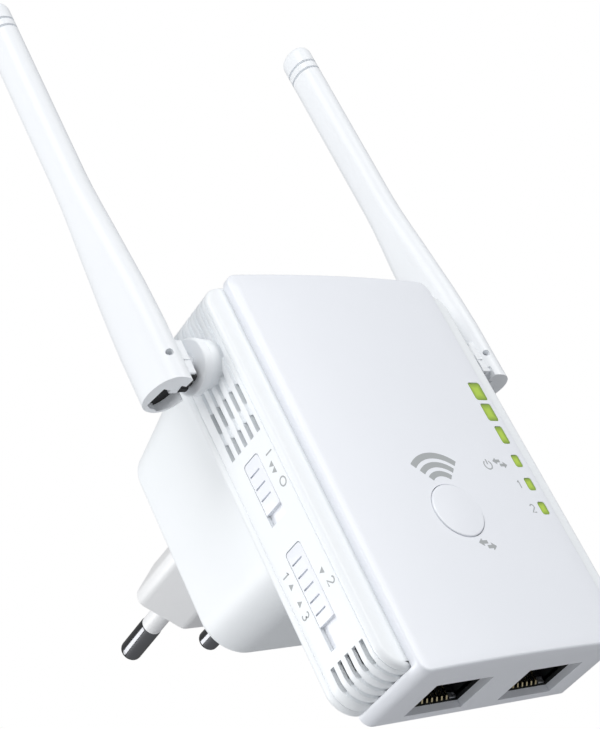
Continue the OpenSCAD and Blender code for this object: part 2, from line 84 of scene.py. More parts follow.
# power box and plug
BOX_BACK = back_high.y / MM - Y_SHIFT
plug_low, plug_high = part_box("plug_block")
PLUG_BACK = plug_high.y / MM - Y_SHIFT
PLUG_Z = (plug_high.z + plug_low.z) / 2 / MM - Z_SHIFT
PLUG_HALF_W = (plug_high.x - plug_low.x) / MM / 2
PLUG_HALF_H = (plug_high.z - plug_low.z) / MM / 2
BOX_HALF_W = 19.9
BOX_HALF_H = 20.425
BOX_DRAFT = 3.1
BOX_R = 6.7
BOX_EDGE = 1.3
PLUG_SLANT = 6.6
PLUG_R = 1.9
PIN_BASE = 18.6
PIN_TIP = 17.5
PIN_LEN = 19.0
PIN_R = 2.0
PIN_EASE = 0.9
STEM_R = 1.4
SLEEVE_R = 1.9
SLEEVE_BORE = 1.5
SLEEVE_LEN = 10.0
# controls
BUTTON_Z = 25.3
BUTTON_R = 4.93
LAMP_X = COVER_HALF - 2.5
# height, width and length of each window
LAMPS = (
    (48.45, 2.9, 3.7),
    (44.1, 2.55, 3.6),
    (39.45, 1.9, 3.6),
    (34.2, 1.8, 2.5),
    (29.6, 1.8, 2.5),
    (24.9, 1.8, 2.5),
)
# depth of both switch windows, then the foot and head of each
SWITCH_Y = (6.35, 10.45)
POWER_Z = (31.6, 42.7)
MODE_Z = (10.1, 26.85)
# skin of wall left over each slider's pocket, and how far its carrier reaches below the window
POCKET = 0.65
CARRIER_FOOT = 0.3
# foot of each cap before it is slid
POWER_CAP_LOW = 33.65
MODE_CAP_LOW = 14.1
# foot and length of each row of vents
VENTS = ((50.15, 3.75), (44.8, 3.2), (4.4, 3.85))
# sockets
SOCKETS = (-9.5, 10.1)
SOCKET_HALF = 5.9
SOCKET_Y = (5.1, 13.9)
JACK_MOUTH = 1.2
NOSE_HALF = 6.5
NOSE_Y = (4.5, 14.3)
CONTACT_PITCH = 1.02
# aerials
AERIAL_X = 34.4
HUB_Y = 7.9
HUB_Z = 60.6
HUB_R = 3.9
HUB_OUT = 29.0
EAR_BACK = 0.7
EAR_R = 4.55
NECK_X = 31.3
AERIAL_Y = HUB_Y + 2.2
AERIAL_LEN = 79.4
AERIAL_FOOT = HUB_Z - 3.5
# the tip's section, and the heights of its two rings
TIP_THICK, TIP_WIDE = 5.2, 6.6
TIP_RINGS = (133.9, 135.7)
TIP_DOME = 1.7
# the foot's slanting cut: its drop at the middle, and its rise along x and y
FOOT_DROP = 0.7
FOOT_SLOPE = (-0.217, 0.147)
SLOT_TOP = AERIAL_FOOT + 0.8
NECK_FRONT = AERIAL_Y - 4.6
NECK_D = 5.2
NECK_ROOM = 0.95
# a height safely under the aerials, where their cutters start
BELOW = 50


# -------------------- small tools
def at(x, y, z):
    """Millimetres in the maker's frame to metres in the shared frame."""
    return Vector((x, y + Y_SHIFT, z + Z_SHIFT)) * MM


def span(side, near, far):
    """The x range between two distances on one side of the middle, low end first."""
    return sorted((side * near, side * far))


def linear(code):
    """sRGB hex to the linear colour that a shader takes."""
    parts = [int(code[i : i + 2], 16) / 255 for i in (1, 3, 5)]
    bent = (p / 12.92 if p <= 0.04045 else ((p + 0.055) / 1.055) ** 2.4 for p in parts)
    return tuple(bent) + (1.0,)


def add(tree, kind, inputs=None, **settings):
    """Adds a node, sets its properties and fills its inputs with values or links."""
    made = tree.nodes.new(kind)
    for name, value in settings.items():
        setattr(made, name, value)
    for key, value in (inputs or {}).items():
        if isinstance(value, bpy.types.NodeSocket):
            tree.links.new(value, made.inputs[key])
        else:
            made.inputs[key].default_value = value
    return made


def put(name, data):
    """A new object in the scene."""
    thing = bpy.data.objects.new(name, data)
    bpy.context.scene.collection.objects.link(thing)
    return thing


def make(name, vertices, faces, material, sharp=32.0):
    """A mesh object at the origin: points merged, faces outward, edges sharp above an angle."""
    mesh = bpy.data.meshes.new(name)
    mesh.from_pydata([tuple(v) for v in vertices], [], faces)
    work = bmesh.new()
    work.from_mesh(mesh)
    bmesh.ops.remove_doubles(work, verts=work.verts, dist=0.002 * MM)
    bmesh.ops.dissolve_degenerate(work, edges=work.edges, dist=0.001 * MM)
    bmesh.ops.recalc_face_normals(work, faces=work.faces)
    work.to_mesh(mesh)
    work.free()
    mesh.validate()
    mesh.polygons.foreach_set("use_smooth", [True] * len(mesh.polygons))
    mesh.set_sharp_from_angle(angle=math.radians(sharp))
    mesh.materials.append(material)
    return put(name, mesh)


def join(parts):
    """All parts become the first one, each part still a closed shell."""
    first = parts[0]
    if len(parts) > 1:
        with bpy.context.temp_override(active_object=first, selected_editable_objects=parts):
            bpy.ops.object.join()
    return first


def baked(piece):
    """The evaluated mesh of a piece as a plain object, with its modifiers gone."""
    graph = bpy.context.evaluated_depsgraph_get()
    mesh = bpy.data.meshes.new_from_object(piece.evaluated_get(graph))
    piece.modifiers.clear()
    piece.data = mesh
    return piece


def resharpen(piece, sharp=32.0):
    """Smooth shading with edges sharp above an angle."""
    mesh = piece.data
    mesh.polygons.foreach_set("use_smooth", [True] * len(mesh.polygons))
    mesh.set_sharp_from_angle(angle=math.radians(sharp))
    return piece


def cut(piece, cutters, sharp=32.0):
    """Takes closed cutters out of a piece."""
    for cutter in cutters:
        mod = piece.modifiers.new("cut", "BOOLEAN")
        mod.operation = "DIFFERENCE"
        mod.solver = "EXACT"
        mod.object = cutter
    baked(piece)
    for cutter in cutters:
        bpy.data.objects.remove(cutter)
    return resharpen(piece, sharp)


def arc(cx, cz, r, start, end, steps):
    """Points on an arc, angles in degrees."""
    angles = (math.radians(start + (end - start) * i / steps) for i in range(steps + 1))
    return [(cx + r * math.cos(a), cz + r * math.sin(a)) for a in angles]


def rounded_box(half, low, high, r_top, r_low, steps=10):
    """Closed outline of a box with round corners, from the lower left corner clockwise."""
    pts = arc(-half + r_low, low + r_low, r_low, 270, 180, steps)
    pts += arc(-half + r_top, high - r_top, r_top, 180, 90, steps)
    pts += arc(half - r_top, high - r_top, r_top, 90, 0, steps)
    pts += arc(half - r_low, low + r_low, r_low, 0, -90, steps)
    return pts


def rounded_corners(corners, r, steps=6):
    """A closed outline with each corner rounded by r."""
    out = []
    count = len(corners)
    for i, corner in enumerate(corners):
        here = Vector(corner)
        before = (Vector(corners[i - 1]) - here).normalized()
        after = (Vector(corners[(i + 1) % count]) - here).normalized()
        turn = before.angle(after)
        reach = r / math.tan(turn / 2)
        centre = here + (before + after).normalized() * (r / math.sin(turn / 2))
        first = here + before * reach - centre
        last = here + after * reach - centre
        sweep = first.angle_signed(last)
        for k in range(steps + 1):
            spin = Matrix.Rotation(-sweep * k / steps, 2)
            out.append(tuple(centre + spin @ first))
    return out


def skin(rows, size, base=0):
    """Faces between rows of points, each row a closed ring."""
    faces = []
    for k in range(base, base + (rows - 1) * size, size):
        for i in range(size):
            j = (i + 1) % size
            faces.append((k + i, k + j, k + size + j, k + size + i))
    return faces


def loft(name, rings, material, sharp=32.0):
    """Skins rings that have the same number of points. Each ring is a list of vectors."""
    size = len(rings[0])
    vertices = [p for ring in rings for p in ring]
    faces = skin(len(rings), size)
    faces.append(tuple(range(size)))
    faces.append(tuple(range(len(vertices) - size, len(vertices))))
    return make(name, vertices, faces, material, sharp)


def turned(name, profile, centre, axis, material, steps=48):
    """A turned shape. profile is (distance along axis, radius); it starts and ends on the axis."""
    along = Vector(axis).normalized()
    side = along.cross(Vector((0, 0, 1)) if abs(along.z) < 0.9 else Vector((1, 0, 0))).normalized()
    other = along.cross(side)
    rings = []
    for run, radius in profile:
        ring = []
        for i in range(steps):
            a = 2 * math.pi * i / steps
            spoke = side * math.cos(a) + other * math.sin(a)
            ring.append(centre + (along * run + spoke * radius) * MM)
        rings.append(ring)
    return loft(name, rings, material)


def brick(name, x, y, z, material, r=0.0):
    """A box between two corners; its edges are rounded by r."""
    low, high = at(x[0], y[0], z[0]), at(x[1], y[1], z[1])
    work = bmesh.new()
    bmesh.ops.create_cube(work, size=1.0)
    for v in work.verts:
        v.co = Vector([low[i] + (v.co[i] + 0.5) * (high[i] - low[i]) for i in range(3)])
    if r > 0:
        size = r * MM
        bmesh.ops.bevel(work, geom=work.edges, offset=size, segments=3, profile=0.5, affect="EDGES")
    mesh = bpy.data.meshes.new(name)
    work.to_mesh(mesh)
    work.free()
    mesh.materials.append(material)
    return resharpen(put(name, mesh), 50)


def slab_tool(x, y, z):
    """A plain box to cut with; cut() takes it away again."""
    return brick("cutter", x, y, z, frame_abs)


def inside(point, loop):
    """True where a point lies inside a closed loop."""
    x, z = point
    hit = False
    for (ax, az), (bx, bz) in zip(loop, loop[1:] + loop[:1]):
        if (az > z) != (bz > z) and x < (bx - ax) * (z - az) / (bz - az) + ax:
            hit = not hit
    return hit


def sheet_between(outer, holes, spacing):
    """Triangles between an outer loop and its holes, with inner points every spacing."""
    pts = [Vector(p) for p in outer]
    edges = [(i, (i + 1) % len(outer)) for i in range(len(outer))]
    for hole in holes:
        start = len(pts)
        pts += [Vector(p) for p in hole]
        edges += [(start + i, start + (i + 1) % len(hole)) for i in range(len(hole))]
    rim = list(pts)
    xs = [p[0] for p in outer]
    zs = [p[1] for p in outer]
    columns = int((max(xs) - min(xs)) / spacing)
    rows = int((max(zs) - min(zs)) / spacing)
    for i in range(1, columns):
        for j in range(1, rows):
            p = Vector((min(xs) + i * spacing, min(zs) + j * spacing))
            if not inside(p, outer) or any(inside(p, hole) for hole in holes):
                continue
            if min((p - q).length_squared for q in rim) > (0.45 * spacing) ** 2:
                pts.append(p)
    points, _, faces, *_ = delaunay_2d_cdt(pts, edges, [], 1, 1e-6)
    kept = []
    for face in faces:
        middle = sum((points[i] for i in face), Vector((0, 0))) / len(face)
        if inside(middle, outer) and not any(inside(middle, hole) for hole in holes):
            kept.append(tuple(face))
    return points, kept


# -------------------- materials
PLASTIC_IOR = 1.53
POLISH_DRIFT = 0.05
# a band pattern repeats this many times in one unit of its scale
BANDS_PER_UNIT = 20
# real moulded grain is near 0.05 mm; the grains below are drawn coarser, so that they show


def new_material(name):
    """A material with an empty node tree, and its object coordinates."""
    material = bpy.data.materials.new(name)
    material.use_nodes = True
    tree = material.node_tree
    tree.nodes.clear()
    where = add(tree, "ShaderNodeTexCoord").outputs["Object"]
    return material, tree, where


def moulded(name, light, dark, rough, grain_mm, depth, coat=0.0):
    """Moulded plastic: a very slight tone drift, a spark-eroded grain and a soft skin shine."""
    material, tree, where = new_material(name)
    broad = {"Vector": where, "Scale": 1 / (14 * MM), "Detail": 2.0}
    drift = add(tree, "ShaderNodeTexNoise", broad).outputs["Fac"]
    shades = {0: drift, 6: linear(light), 7: linear(dark)}
    tone = add(tree, "ShaderNodeMix", shades, data_type="RGBA")
    pattern = {"Vector": where, "Scale": 1 / (grain_mm * MM), "Detail": 4.0}
    grain = add(tree, "ShaderNodeTexNoise", pattern).outputs["Fac"]
    limits = {"Value": grain, 3: rough - POLISH_DRIFT, 4: rough + POLISH_DRIFT}
    polish = add(tree, "ShaderNodeMapRange", limits)
    relief = {"Height": grain, "Strength": 0.35, "Distance": depth * MM}
    bump = add(tree, "ShaderNodeBump", relief)
    look = {"Base Color": tone.outputs[2], "Roughness": polish.outputs[0]}
    look |= {"Normal": bump.outputs[0], "IOR": PLASTIC_IOR, "Coat Weight": coat}
    shader = add(tree, "ShaderNodeBsdfPrincipled", look)
    add(tree, "ShaderNodeOutputMaterial", {"Surface": shader.outputs[0]})
    return material


def plated(name, tint, rough, line_mm, axis):
    """Turned and plated metal: fine lathe lines run round it and stretch its highlights."""
    material, tree, where = new_material(name)
    bands = {"Vector": where, "Scale": 1 / (line_mm * MM * BANDS_PER_UNIT)}
    bands |= {"Distortion": 1.5, "Detail": 2.0}
    lines = add(tree, "ShaderNodeTexWave", bands, wave_type="BANDS", bands_direction=axis)
    height = lines.outputs["Fac"]
    polish = add(tree, "ShaderNodeMapRange", {"Value": height, 3: rough, 4: rough + 0.08})
    relief = {"Height": height, "Strength": 0.08, "Distance": 0.01 * MM}
    bump = add(tree, "ShaderNodeBump", relief)
    look = {"Base Color": linear(tint), "Metallic": 1.0, "Roughness": polish.outputs[0]}
    look |= {"Normal": bump.outputs[0]}
    shader = add(tree, "ShaderNodeBsdfPrincipled", look)
    add(tree, "ShaderNodeOutputMaterial", {"Surface": shader.outputs[0]})
    return material


def laminate(name, mask, mask_other, track, cell_mm):
    """Board laminate: fields of mask parted by faint lighter tracks, under a glassy skin."""
    material, tree, where = new_material(name)
    pattern = {"Vector": where, "Scale": 1 / (cell_mm * MM), "Mortar Size": 0.03}
    pattern |= {"Color1": linear(mask), "Color2": linear(mask_other), "Mortar": linear(track)}
    tracks = add(tree, "ShaderNodeTexBrick", pattern)
    relief = {"Height": tracks.outputs["Fac"], "Strength": 0.2, "Distance": 0.03 * MM}
    bump = add(tree, "ShaderNodeBump", relief)
    look = {"Base Color": tracks.outputs["Color"], "Roughness": 0.3, "Normal": bump.outputs[0]}
    look |= {"Coat Weight": 0.3}
    shader = add(tree, "ShaderNodeBsdfPrincipled", look)
    add(tree, "ShaderNodeOutputMaterial", {"Surface": shader.outputs[0]})
    return material


def taped(name, light, dark, turn_mm):
    """Wound polyester tape: turns side by side, each edge a little darker, with a low gloss."""
    material, tree, where = new_material(name)
    bands = {"Vector": where, "Scale": 1 / (turn_mm * MM * BANDS_PER_UNIT), "Distortion": 0.4}
    turns = add(tree, "ShaderNodeTexWave", bands, wave_type="BANDS", bands_direction="Z")
    height = turns.outputs["Fac"]
    shades = {0: height, 6: linear(dark), 7: linear(light)}
    tone = add(tree, "ShaderNodeMix", shades, data_type="RGBA")
    bump = add(tree, "ShaderNodeBump", {"Height": height, "Strength": 0.3, "Distance": 0.05 * MM})
    look = {"Base Color": tone.outputs[2], "Roughness": 0.38, "Normal": bump.outputs[0]}
    shader = add(tree, "ShaderNodeBsdfPrincipled", look)
    add(tree, "ShaderNodeOutputMaterial", {"Surface": shader.outputs[0]})
    return material


def lit_window(name):
    """Lit green polycarbonate: brightest in the middle of each window, with a deeper green painted
    at its rim as shade from the window's recess walls.
    """
    material, tree, where = new_material(name)
    glow_and_rim_shade = add(tree, "ShaderNodeAttribute", attribute_name="glow_and_rim_shade")
    pattern = {"Vector": where, "Scale": 1 / (0.8 * MM), "Detail": 2.0}
    cloud = add(tree, "ShaderNodeTexNoise", pattern)
    ramp = add(tree, "ShaderNodeValToRGB", {"Fac": glow_and_rim_shade.outputs["Fac"]})
    # the first colour is the rim: painted shade from the window's recess walls
    ramp.color_ramp.elements[0].color = linear("#7E9A3F")
    ramp.color_ramp.elements[1].color = linear("#B2CF50")
    relief = {"Height": cloud.outputs["Fac"], "Strength": 0.1, "Distance": 0.05 * MM}
    bump = add(tree, "ShaderNodeBump", relief)
    look = {"Base Color": ramp.outputs[0], "Roughness": 0.3, "Normal": bump.outputs[0]}
    look |= {"IOR": 1.58, "Emission Color": ramp.outputs[0], "Emission Strength": 0.04}
    shader = add(tree, "ShaderNodeBsdfPrincipled", look)
    add(tree, "ShaderNodeOutputMaterial", {"Surface": shader.outputs[0]})
    return material


# cool near-white with the clearest sheen, so the wide bowed face shades softly
cover_abs = moulded("gloss_abs_cover", "#EFF2F8", "#EDF0F6", 0.34, 0.35, 0.012, coat=0.15)
# a little duller, so the ribs and vents read by their shade and not by glints
frame_abs = moulded("satin_abs_frame", "#F1F4F7", "#EEF2F5", 0.42, 0.28, 0.02)
# the same plastic with a coarser grain, which keeps the box's large sides calm
housing_abs = moulded("satin_abs_power_box", "#EFF2F5", "#ECF0F3", 0.42, 0.3, 0.02)
# slightly warmer and duller than the case, as heat-proof plug plastic is
plug_pbt = moulded("moulded_pbt_plug", "#EFF0F1", "#EAEBED", 0.4, 0.3, 0.02)
# soft satin, with one broad highlight down each blade
aerial_tpe = moulded("satin_elastomer_aerial", "#EFF2F5", "#ECEFF3", 0.45, 0.25, 0.02)
# near-black with a dull grain, so the sockets read as deep openings
jack_pbt = moulded("black_glass_filled_pbt", "#1B1E1F", "#141617", 0.5, 0.2, 0.03)
# flat mid grey, so the marks stay light and crisp on the white
ink_grey = moulded("printed_grey_ink", "#A9ADAF", "#A4A8AA", 0.5, 0.1, 0.004)
# metal tinted darker than nickel as painted shade, so its reflections come out dark; its ends take
# sharp highlights
pin_nickel_painted_dark = plated("nickel_pin_painted_dark", "#737477", 0.1, 0.12, "Y")
# pale gold glints in the dark sockets
contact_gold = plated("gold_plated_bronze", "#C9BC98", 0.22, 0.1, "X")
# bright, slightly blurred metal
tin_steel = plated("tinned_steel", "#C9CACC", 0.3, 0.15, "X")
# fresh green with a faint glow, brightest in the middle; the darker rim is painted shade from the
# recess walls
green_window = lit_window("lit_green_polycarbonate")
# matt black, painted shade for the slit and the hollow in the aerial's foot
painted_shade_black = moulded("black_painted_shade_rubber", "#161719", "#101113", 0.7, 0.2, 0.03)
# dull black with a faint edge shine
switch_nylon = moulded("black_nylon_switch", "#1D1E20", "#161718", 0.5, 0.15, 0.03)
# charcoal with a dry, sandy face
chip_epoxy = moulded("black_epoxy_chip", "#202224", "#191A1C", 0.62, 0.08, 0.02)
# warm cream that stands out from the boards
header_nylon = moulded("cream_nylon_header", "#E6DDC4", "#DDD3B8", 0.5, 0.2, 0.02)
# chalky grey, the softest-looking inner part
pad_silicone = moulded("grey_silicone_pad", "#8F959B", "#858B92", 0.75, 0.3, 0.06)
# milky yellow with a wet shine
lamp_resin = moulded("milky_lamp_resin", "#F2EFC4", "#ECE8B4", 0.3, 0.2, 0.01)
# dark grey stone-like face with fine pits
ferrite = moulded("sintered_ferrite", "#3A3B3E", "#2E2F32", 0.68, 0.12, 0.05)
# blue-black foil with a stretched gloss
can_sleeve = moulded("shrink_sleeve_can", "#23303F", "#1B2733", 0.32, 0.5, 0.02, coat=0.2)
# smooth grey with a thin line of light along it
cable_fep = moulded("grey_fep_cable", "#6E7276", "#64686C", 0.35, 0.3, 0.02)
# off-white glaze with a sharp glint
fuse_ceramic = moulded("glazed_ceramic_fuse", "#D9D3C6", "#CFC8BA", 0.22, 0.4, 0.01, coat=0.3)
# warm reddish metal with lines along it
copper_rod = plated("drawn_copper_radiator", "#C98A5E", 0.25, 0.12, "Z")
# cold grey metal, sharply bright at its bends
spring_steel = plated("blued_spring_steel", "#9FA3A8", 0.22, 0.1, "X")
# bluish bright metal
screw_zinc = plated("zinc_plated_screw", "#C4C7CB", 0.25, 0.1, "Y")
# deep green fields with lighter tracks
mask_green = laminate("green_masked_board", "#1F5A38", "#2B7048", "#3C8257", 5.0)
# tan resin paper with broad pale tracks
mask_tan = laminate("tan_power_board", "#B08A55", "#B9935E", "#C79F62", 9.0)
# glossy yellow turns with darker edges
tape_yellow = taped("yellow_winding_tape", "#E3C24B", "#CFA936", 1.2)


# -------------------- front cover
def bow(x):
    """Depth of the bowed face at x."""
    return -COVER_BOW * (1 - (x / COVER_HALF) ** 2)


def pill_loop(cx, cz, w, h, r):
    """Outline of a rounded window round a centre."""
    return [(cx + x, cz + z) for x, z in rounded_box(w / 2, -h / 2, h / 2, r, r, 5)]


def front_cover():
    """Bowed face with a soft edge, the button hole, six windows, and the bottom tray."""
    fillet = 0.42
    steps = 6
    rings = []
    depth = [(0.0, COVER_STEP)]
    for k in range(steps + 1):
        a = math.pi / 2 * k / steps
        depth.append((fillet * (1 - math.cos(a)), fillet * (1 - math.sin(a))))
    for inset, drop in depth:
        r_top, r_low = COVER_CORNER_TOP - inset, COVER_CORNER_LOW - inset
        loop = rounded_box(COVER_HALF - inset, inset, COVER_H - inset, r_top, r_low, 10)
        long = []
        for (ax, az), (bx, bz) in zip(loop, loop[1:] + loop[:1]):
            count = max(1, round(math.hypot(bx - ax, bz - az) / 1.4))
            long += [(ax + (bx - ax) * i / count, az + (bz - az) * i / count) for i in range(count)]
        rings.append([(x, z, drop + (bow(x) if drop < COVER_STEP else 0.0)) for x, z in long])
    outer = [(x, z) for x, z, _ in rings[-1]]
    button = arc(0, BUTTON_Z, BUTTON_R, 0, 360, 72)[:-1]
    windows = [pill_loop(LAMP_X, z, w, h, 0.5) for z, w, h in LAMPS]
    points, tris = sheet_between(outer, [button] + windows, 1.5)
    vertices = [at(x, y, z) for ring in rings for x, z, y in ring]
    faces = skin(len(rings), len(rings[0]))
    base = len(vertices)
    vertices += [at(p.x, bow(p.x), p.y) for p in points]
    faces += [tuple(base + i for i in tri) for tri in tris]
    # back sheet with the same holes
    back = len(vertices)
    floor = COVER_STEP
    full, full_tris = sheet_between([(x, z) for x, z, _ in rings[0]], [button] + windows, 3.0)
    vertices += [at(p.x, floor, p.y) for p in full]
    faces += [tuple(back + i for i in tri) for tri in full_tris]
    # straight walls round each hole
    for hole in [button] + windows:
        start = len(vertices)
        vertices += [at(x, bow(x), z) for x, z in hole]
        vertices += [at(x, floor, z) for x, z in hole]
        faces += skin(2, len(hole), start)
    face = make("cover_face", vertices, faces, cover_abs)
    tray = cover_tray()
    return join([face, tray])


def cover_tray():
    """Bottom wall behind the face, round cornered in front view, with the two socket openings."""
    r = COVER_CORNER_LOW
    loop = arc(-COVER_HALF + r, r, r, 180, 270, 8)
    loop += arc(COVER_HALF - r, r, r, 270, 360, 8)
    loop = [(x, min(z, FLOOR_T)) for x, z in loop]
    rings = [[at(x, y, z) for x, z in loop] for y in (COVER_STEP, FRAME_D - 0.1)]
    tray = loft("cover_tray", rings, cover_abs)
    cutters = []
    for x in SOCKETS:
        opening, nose = (x - SOCKET_HALF, x + SOCKET_HALF), (x - NOSE_HALF, x + NOSE_HALF)
        cutters.append(slab_tool(opening, SOCKET_Y, (-1, 4)))
        cutters.append(slab_tool(nose, NOSE_Y, (JACK_MOUTH, 4)))
    cut(tray, cutters)
    posts = []
    for side in (-1, 1):
        x = span(side, COVER_HALF - 1.6, COVER_HALF - 0.4)
        y = (COVER_STEP - 0.1, COVER_STEP + 3)
        posts.append(brick("corner_post", x, y, (2.2, 5.5), cover_abs))
    return join([tray] + posts)


# -------------------- ribbed frame
def rim_path():
    """Outline of the frame from its left foot over the top to its right foot."""
    side = [PANEL[0] - 0.04, PANEL[0], PANEL[1], PANEL[1] + 0.04]
    pts = [(-COVER_HALF + TUCK_SIDE, FLOOR_T)]
    pts += arc(-HALF + CORNER_LOW, FLOOR_T + CORNER_LOW, CORNER_LOW, 270, 180, 16)
    pts += [(-HALF, z) for z in side]
    pts += arc(-HALF + CORNER_TOP, FRAME_TOP - CORNER_TOP, CORNER_TOP, 180, 90, 14)
    pts += arc(HALF - CORNER_TOP, FRAME_TOP - CORNER_TOP, CORNER_TOP, 90, 0, 14)
    pts += [(HALF, z) for z in reversed(side)]
    pts += arc(HALF - CORNER_LOW, FLOOR_T + CORNER_LOW, CORNER_LOW, 0, -90, 16)
    pts.append((COVER_HALF - TUCK_SIDE, FLOOR_T))
    return pts


def rim_profile():
    """The frame's wall from the shoulder back and round inside: depth, inset, groove dip."""
    edge = 1.0
    rows = [(COVER_STEP, None, 0.0)]
    for k in range(8):
        a = math.pi / 2 * k / 7
        rows.append((COVER_STEP + edge * (1 - math.cos(a)), edge * (1 - math.sin(a)), 0.0))
    # a hairline seam behind the shoulder
    seam = ((2.56, 0.02), (2.61, 0.16), (2.67, 0.16), (2.72, 0.02), (2.76, 0.0))
    rows += [(y, inset, 0.0) for y, inset in seam]
    half_dip = ((-0.46, 0.0), (-0.38, 0.04), (-0.3, 0.36), (-0.22, 0.5))
    dip = half_dip + tuple((-dy, d) for dy, d in reversed(half_dip))
    for i in range(GROOVE_COUNT):
        rows += [(GROOVE_FIRST + i * GROOVE_PITCH + dy, 0.0, d) for dy, d in dip]
    rows += [(SPLIT_Y - 0.16, 0.0, 0.0), (SPLIT_Y - 0.05, 0.05, 0.0), (SPLIT_Y, 0.16, 0.0)]
    rows += [(SPLIT_Y, WALL, 0.0), (COVER_STEP + WALL, WALL, 0.0), (COVER_STEP + WALL, None, 0.0)]
    return rows


def frame_shell():
    """The wall's section swept along the rim; the flat panels have no grooves."""
    path = rim_path()
    count = len(path)
    inward = []
    for i in range(count):
        run = (Vector(path[min(i + 1, count - 1)]) - Vector(path[max(i - 1, 0)])).normalized()
        inward.append(Vector((run.y, -run.x)))
    vertices = []
    profile = rim_profile()
    for y, inset, dip in profile:
        for (x, z), n in zip(path, inward):
            on_panel = PANEL[0] <= z <= PANEL[1]
            if inset is None:
                half = COVER_HALF - TUCK_SIDE
                held_x = max(-half, min(half, x))
                held_z = max(FLOOR_T, min(FRAME_TOP - TUCK_TOP, z))
                vertices.append(at(held_x, y, held_z))
            else:
                deep = inset + (0.0 if on_panel else dip)
                vertices.append(at(x + n.x * deep, y, z + n.y * deep))
    rows = len(profile)
    faces = []
    for k in range(rows):
        n = (k + 1) % rows
        for i in range(count - 1):
            faces.append((k * count + i, k * count + i + 1, n * count + i + 1, n * count + i))
    for end in (0, count - 1):
        faces.append(tuple(k * count + end for k in range(rows)))
    return make("frame_shell", vertices, faces, frame_abs, 28)


def repeat(piece, name, count, step, material):
    """Geometry Nodes: copies of a piece in a row, realized, with their material."""
    tree = bpy.data.node_groups.new(name, "GeometryNodeTree")
    face = tree.interface
    face.new_socket("Geometry", in_out="INPUT", socket_type="NodeSocketGeometry")
    count_socket = face.new_socket("Count", in_out="INPUT", socket_type="NodeSocketInt")
    step_socket = face.new_socket("Step", in_out="INPUT", socket_type="NodeSocketVector")
    face.new_socket("Geometry", in_out="OUTPUT", socket_type="NodeSocketGeometry")
    given = add(tree, "NodeGroupInput").outputs
    line = add(tree, "GeometryNodeMeshLine", {"Count": given["Count"], "Offset": given["Step"]})
    spots = {"Points": line.outputs[0], "Instance": given["Geometry"]}
    copies = add(tree, "GeometryNodeInstanceOnPoints", spots)
    real = add(tree, "GeometryNodeRealizeInstances", {"Geometry": copies.outputs[0]})
    dress = {"Geometry": real.outputs[0], "Material": material}
    dressed = add(tree, "GeometryNodeSetMaterial", dress)
    add(tree, "NodeGroupOutput", {"Geometry": dressed.outputs[0]})
    row = piece.modifiers.new(name, "NODES")
    row.node_group = tree
    row[count_socket.identifier] = count
    row[step_socket.identifier] = step
    return baked(piece)


def mid_frame():
    """The ribbed frame with its vents, switch windows, slider pockets and pivot bosses."""
    shell = frame_shell()
    cutters = []
    pitch = (0, GROOVE_PITCH * MM, 0)
    for side in (-1, 1):
        x = span(side, HALF + 1, HALF - WALL - 1)
        for low, tall in VENTS:
            y = (GROOVE_FIRST - VENT_HALF, GROOVE_FIRST + VENT_HALF)
            vent = slab_tool(x, y, (low, low + tall))
            cutters.append(repeat(vent, "vent_row", GROOVE_COUNT, pitch, frame_abs))
    for (low, high), cap_low in ((POWER_Z, POWER_CAP_LOW), (MODE_Z, MODE_CAP_LOW)):
        y0, y1 = SWITCH_Y
        loop = window_loop(low, high, 0.0)
        rings = [[at(x, y, z) for y, z in loop] for x in (-HALF - 1, -HALF + POCKET + 0.1)]
        cutters.append(loft("window_cutter", rings, frame_abs))
        travel = cap_low - low
        z = (low - CARRIER_FOOT - travel - 0.2, high + 1.0)
        x = (-HALF + POCKET, -HALF + WALL + 1)
        cutters.append(slab_tool(x, (y0 - 0.5, y1 + 0.5), z))
    cut(shell, cutters, 28)
    parts = [shell]
    for side in (-1, 1):
        end = HUB_OUT - 0.79
        root = HALF - 1.2
        profile = [(root, 0), (root, HUB_R), (HALF + 0.2, HUB_R), (end, HUB_R), (end, 0)]
        parts.append(turned("pivot_boss", profile, at(0, HUB_Y, HUB_Z), (side, 0, 0), frame_abs))
    return join(parts)


# -------------------- back plate and power box
def rear_housing():
    """Back plate with an eased rim, and the drafted power box on it."""
    rings = []
    rim = ((SPLIT_Y, 0.16), (SPLIT_Y + 0.05, 0.05), (SPLIT_Y + 0.16, 0.0))
    rim += ((15.1, 0.0), (15.4, 0.08), (15.6, 0.25), (15.7, 0.5))
    for y, inset in rim:
        low, high = FLOOR_T + inset, FRAME_TOP - inset
        loop = rounded_box(HALF - inset, low, high, CORNER_TOP - inset, CORNER_LOW - inset, 14)
        rings.append([at(x, y, z) for x, z in loop])
    plate = loft("back_plate", rings, housing_abs, sharp=28)
    rings = []
    straight = BOX_BACK - BOX_EDGE
    stops = [(FRAME_D - 0.5, BOX_DRAFT), (straight, 0.0)]
    for k in range(1, 9):
        a = math.pi / 16 * k
        stops.append((straight + BOX_EDGE * math.sin(a), -BOX_EDGE * (1 - math.cos(a))))
    for y, grow in stops:
        low = PLUG_Z - BOX_HALF_H - 0.33 - grow
        high = min(PLUG_Z + BOX_HALF_H - 0.33 + grow, FRAME_TOP - 0.05)
        radius = BOX_R + min(grow, 0.0)
        loop = rounded_box(BOX_HALF_W + grow, low, high, radius, radius, 14)
        rings.append([at(x, y, z) for x, z in loop])
    box = loft("power_box", rings, housing_abs, sharp=28)
    return join([plate, box])


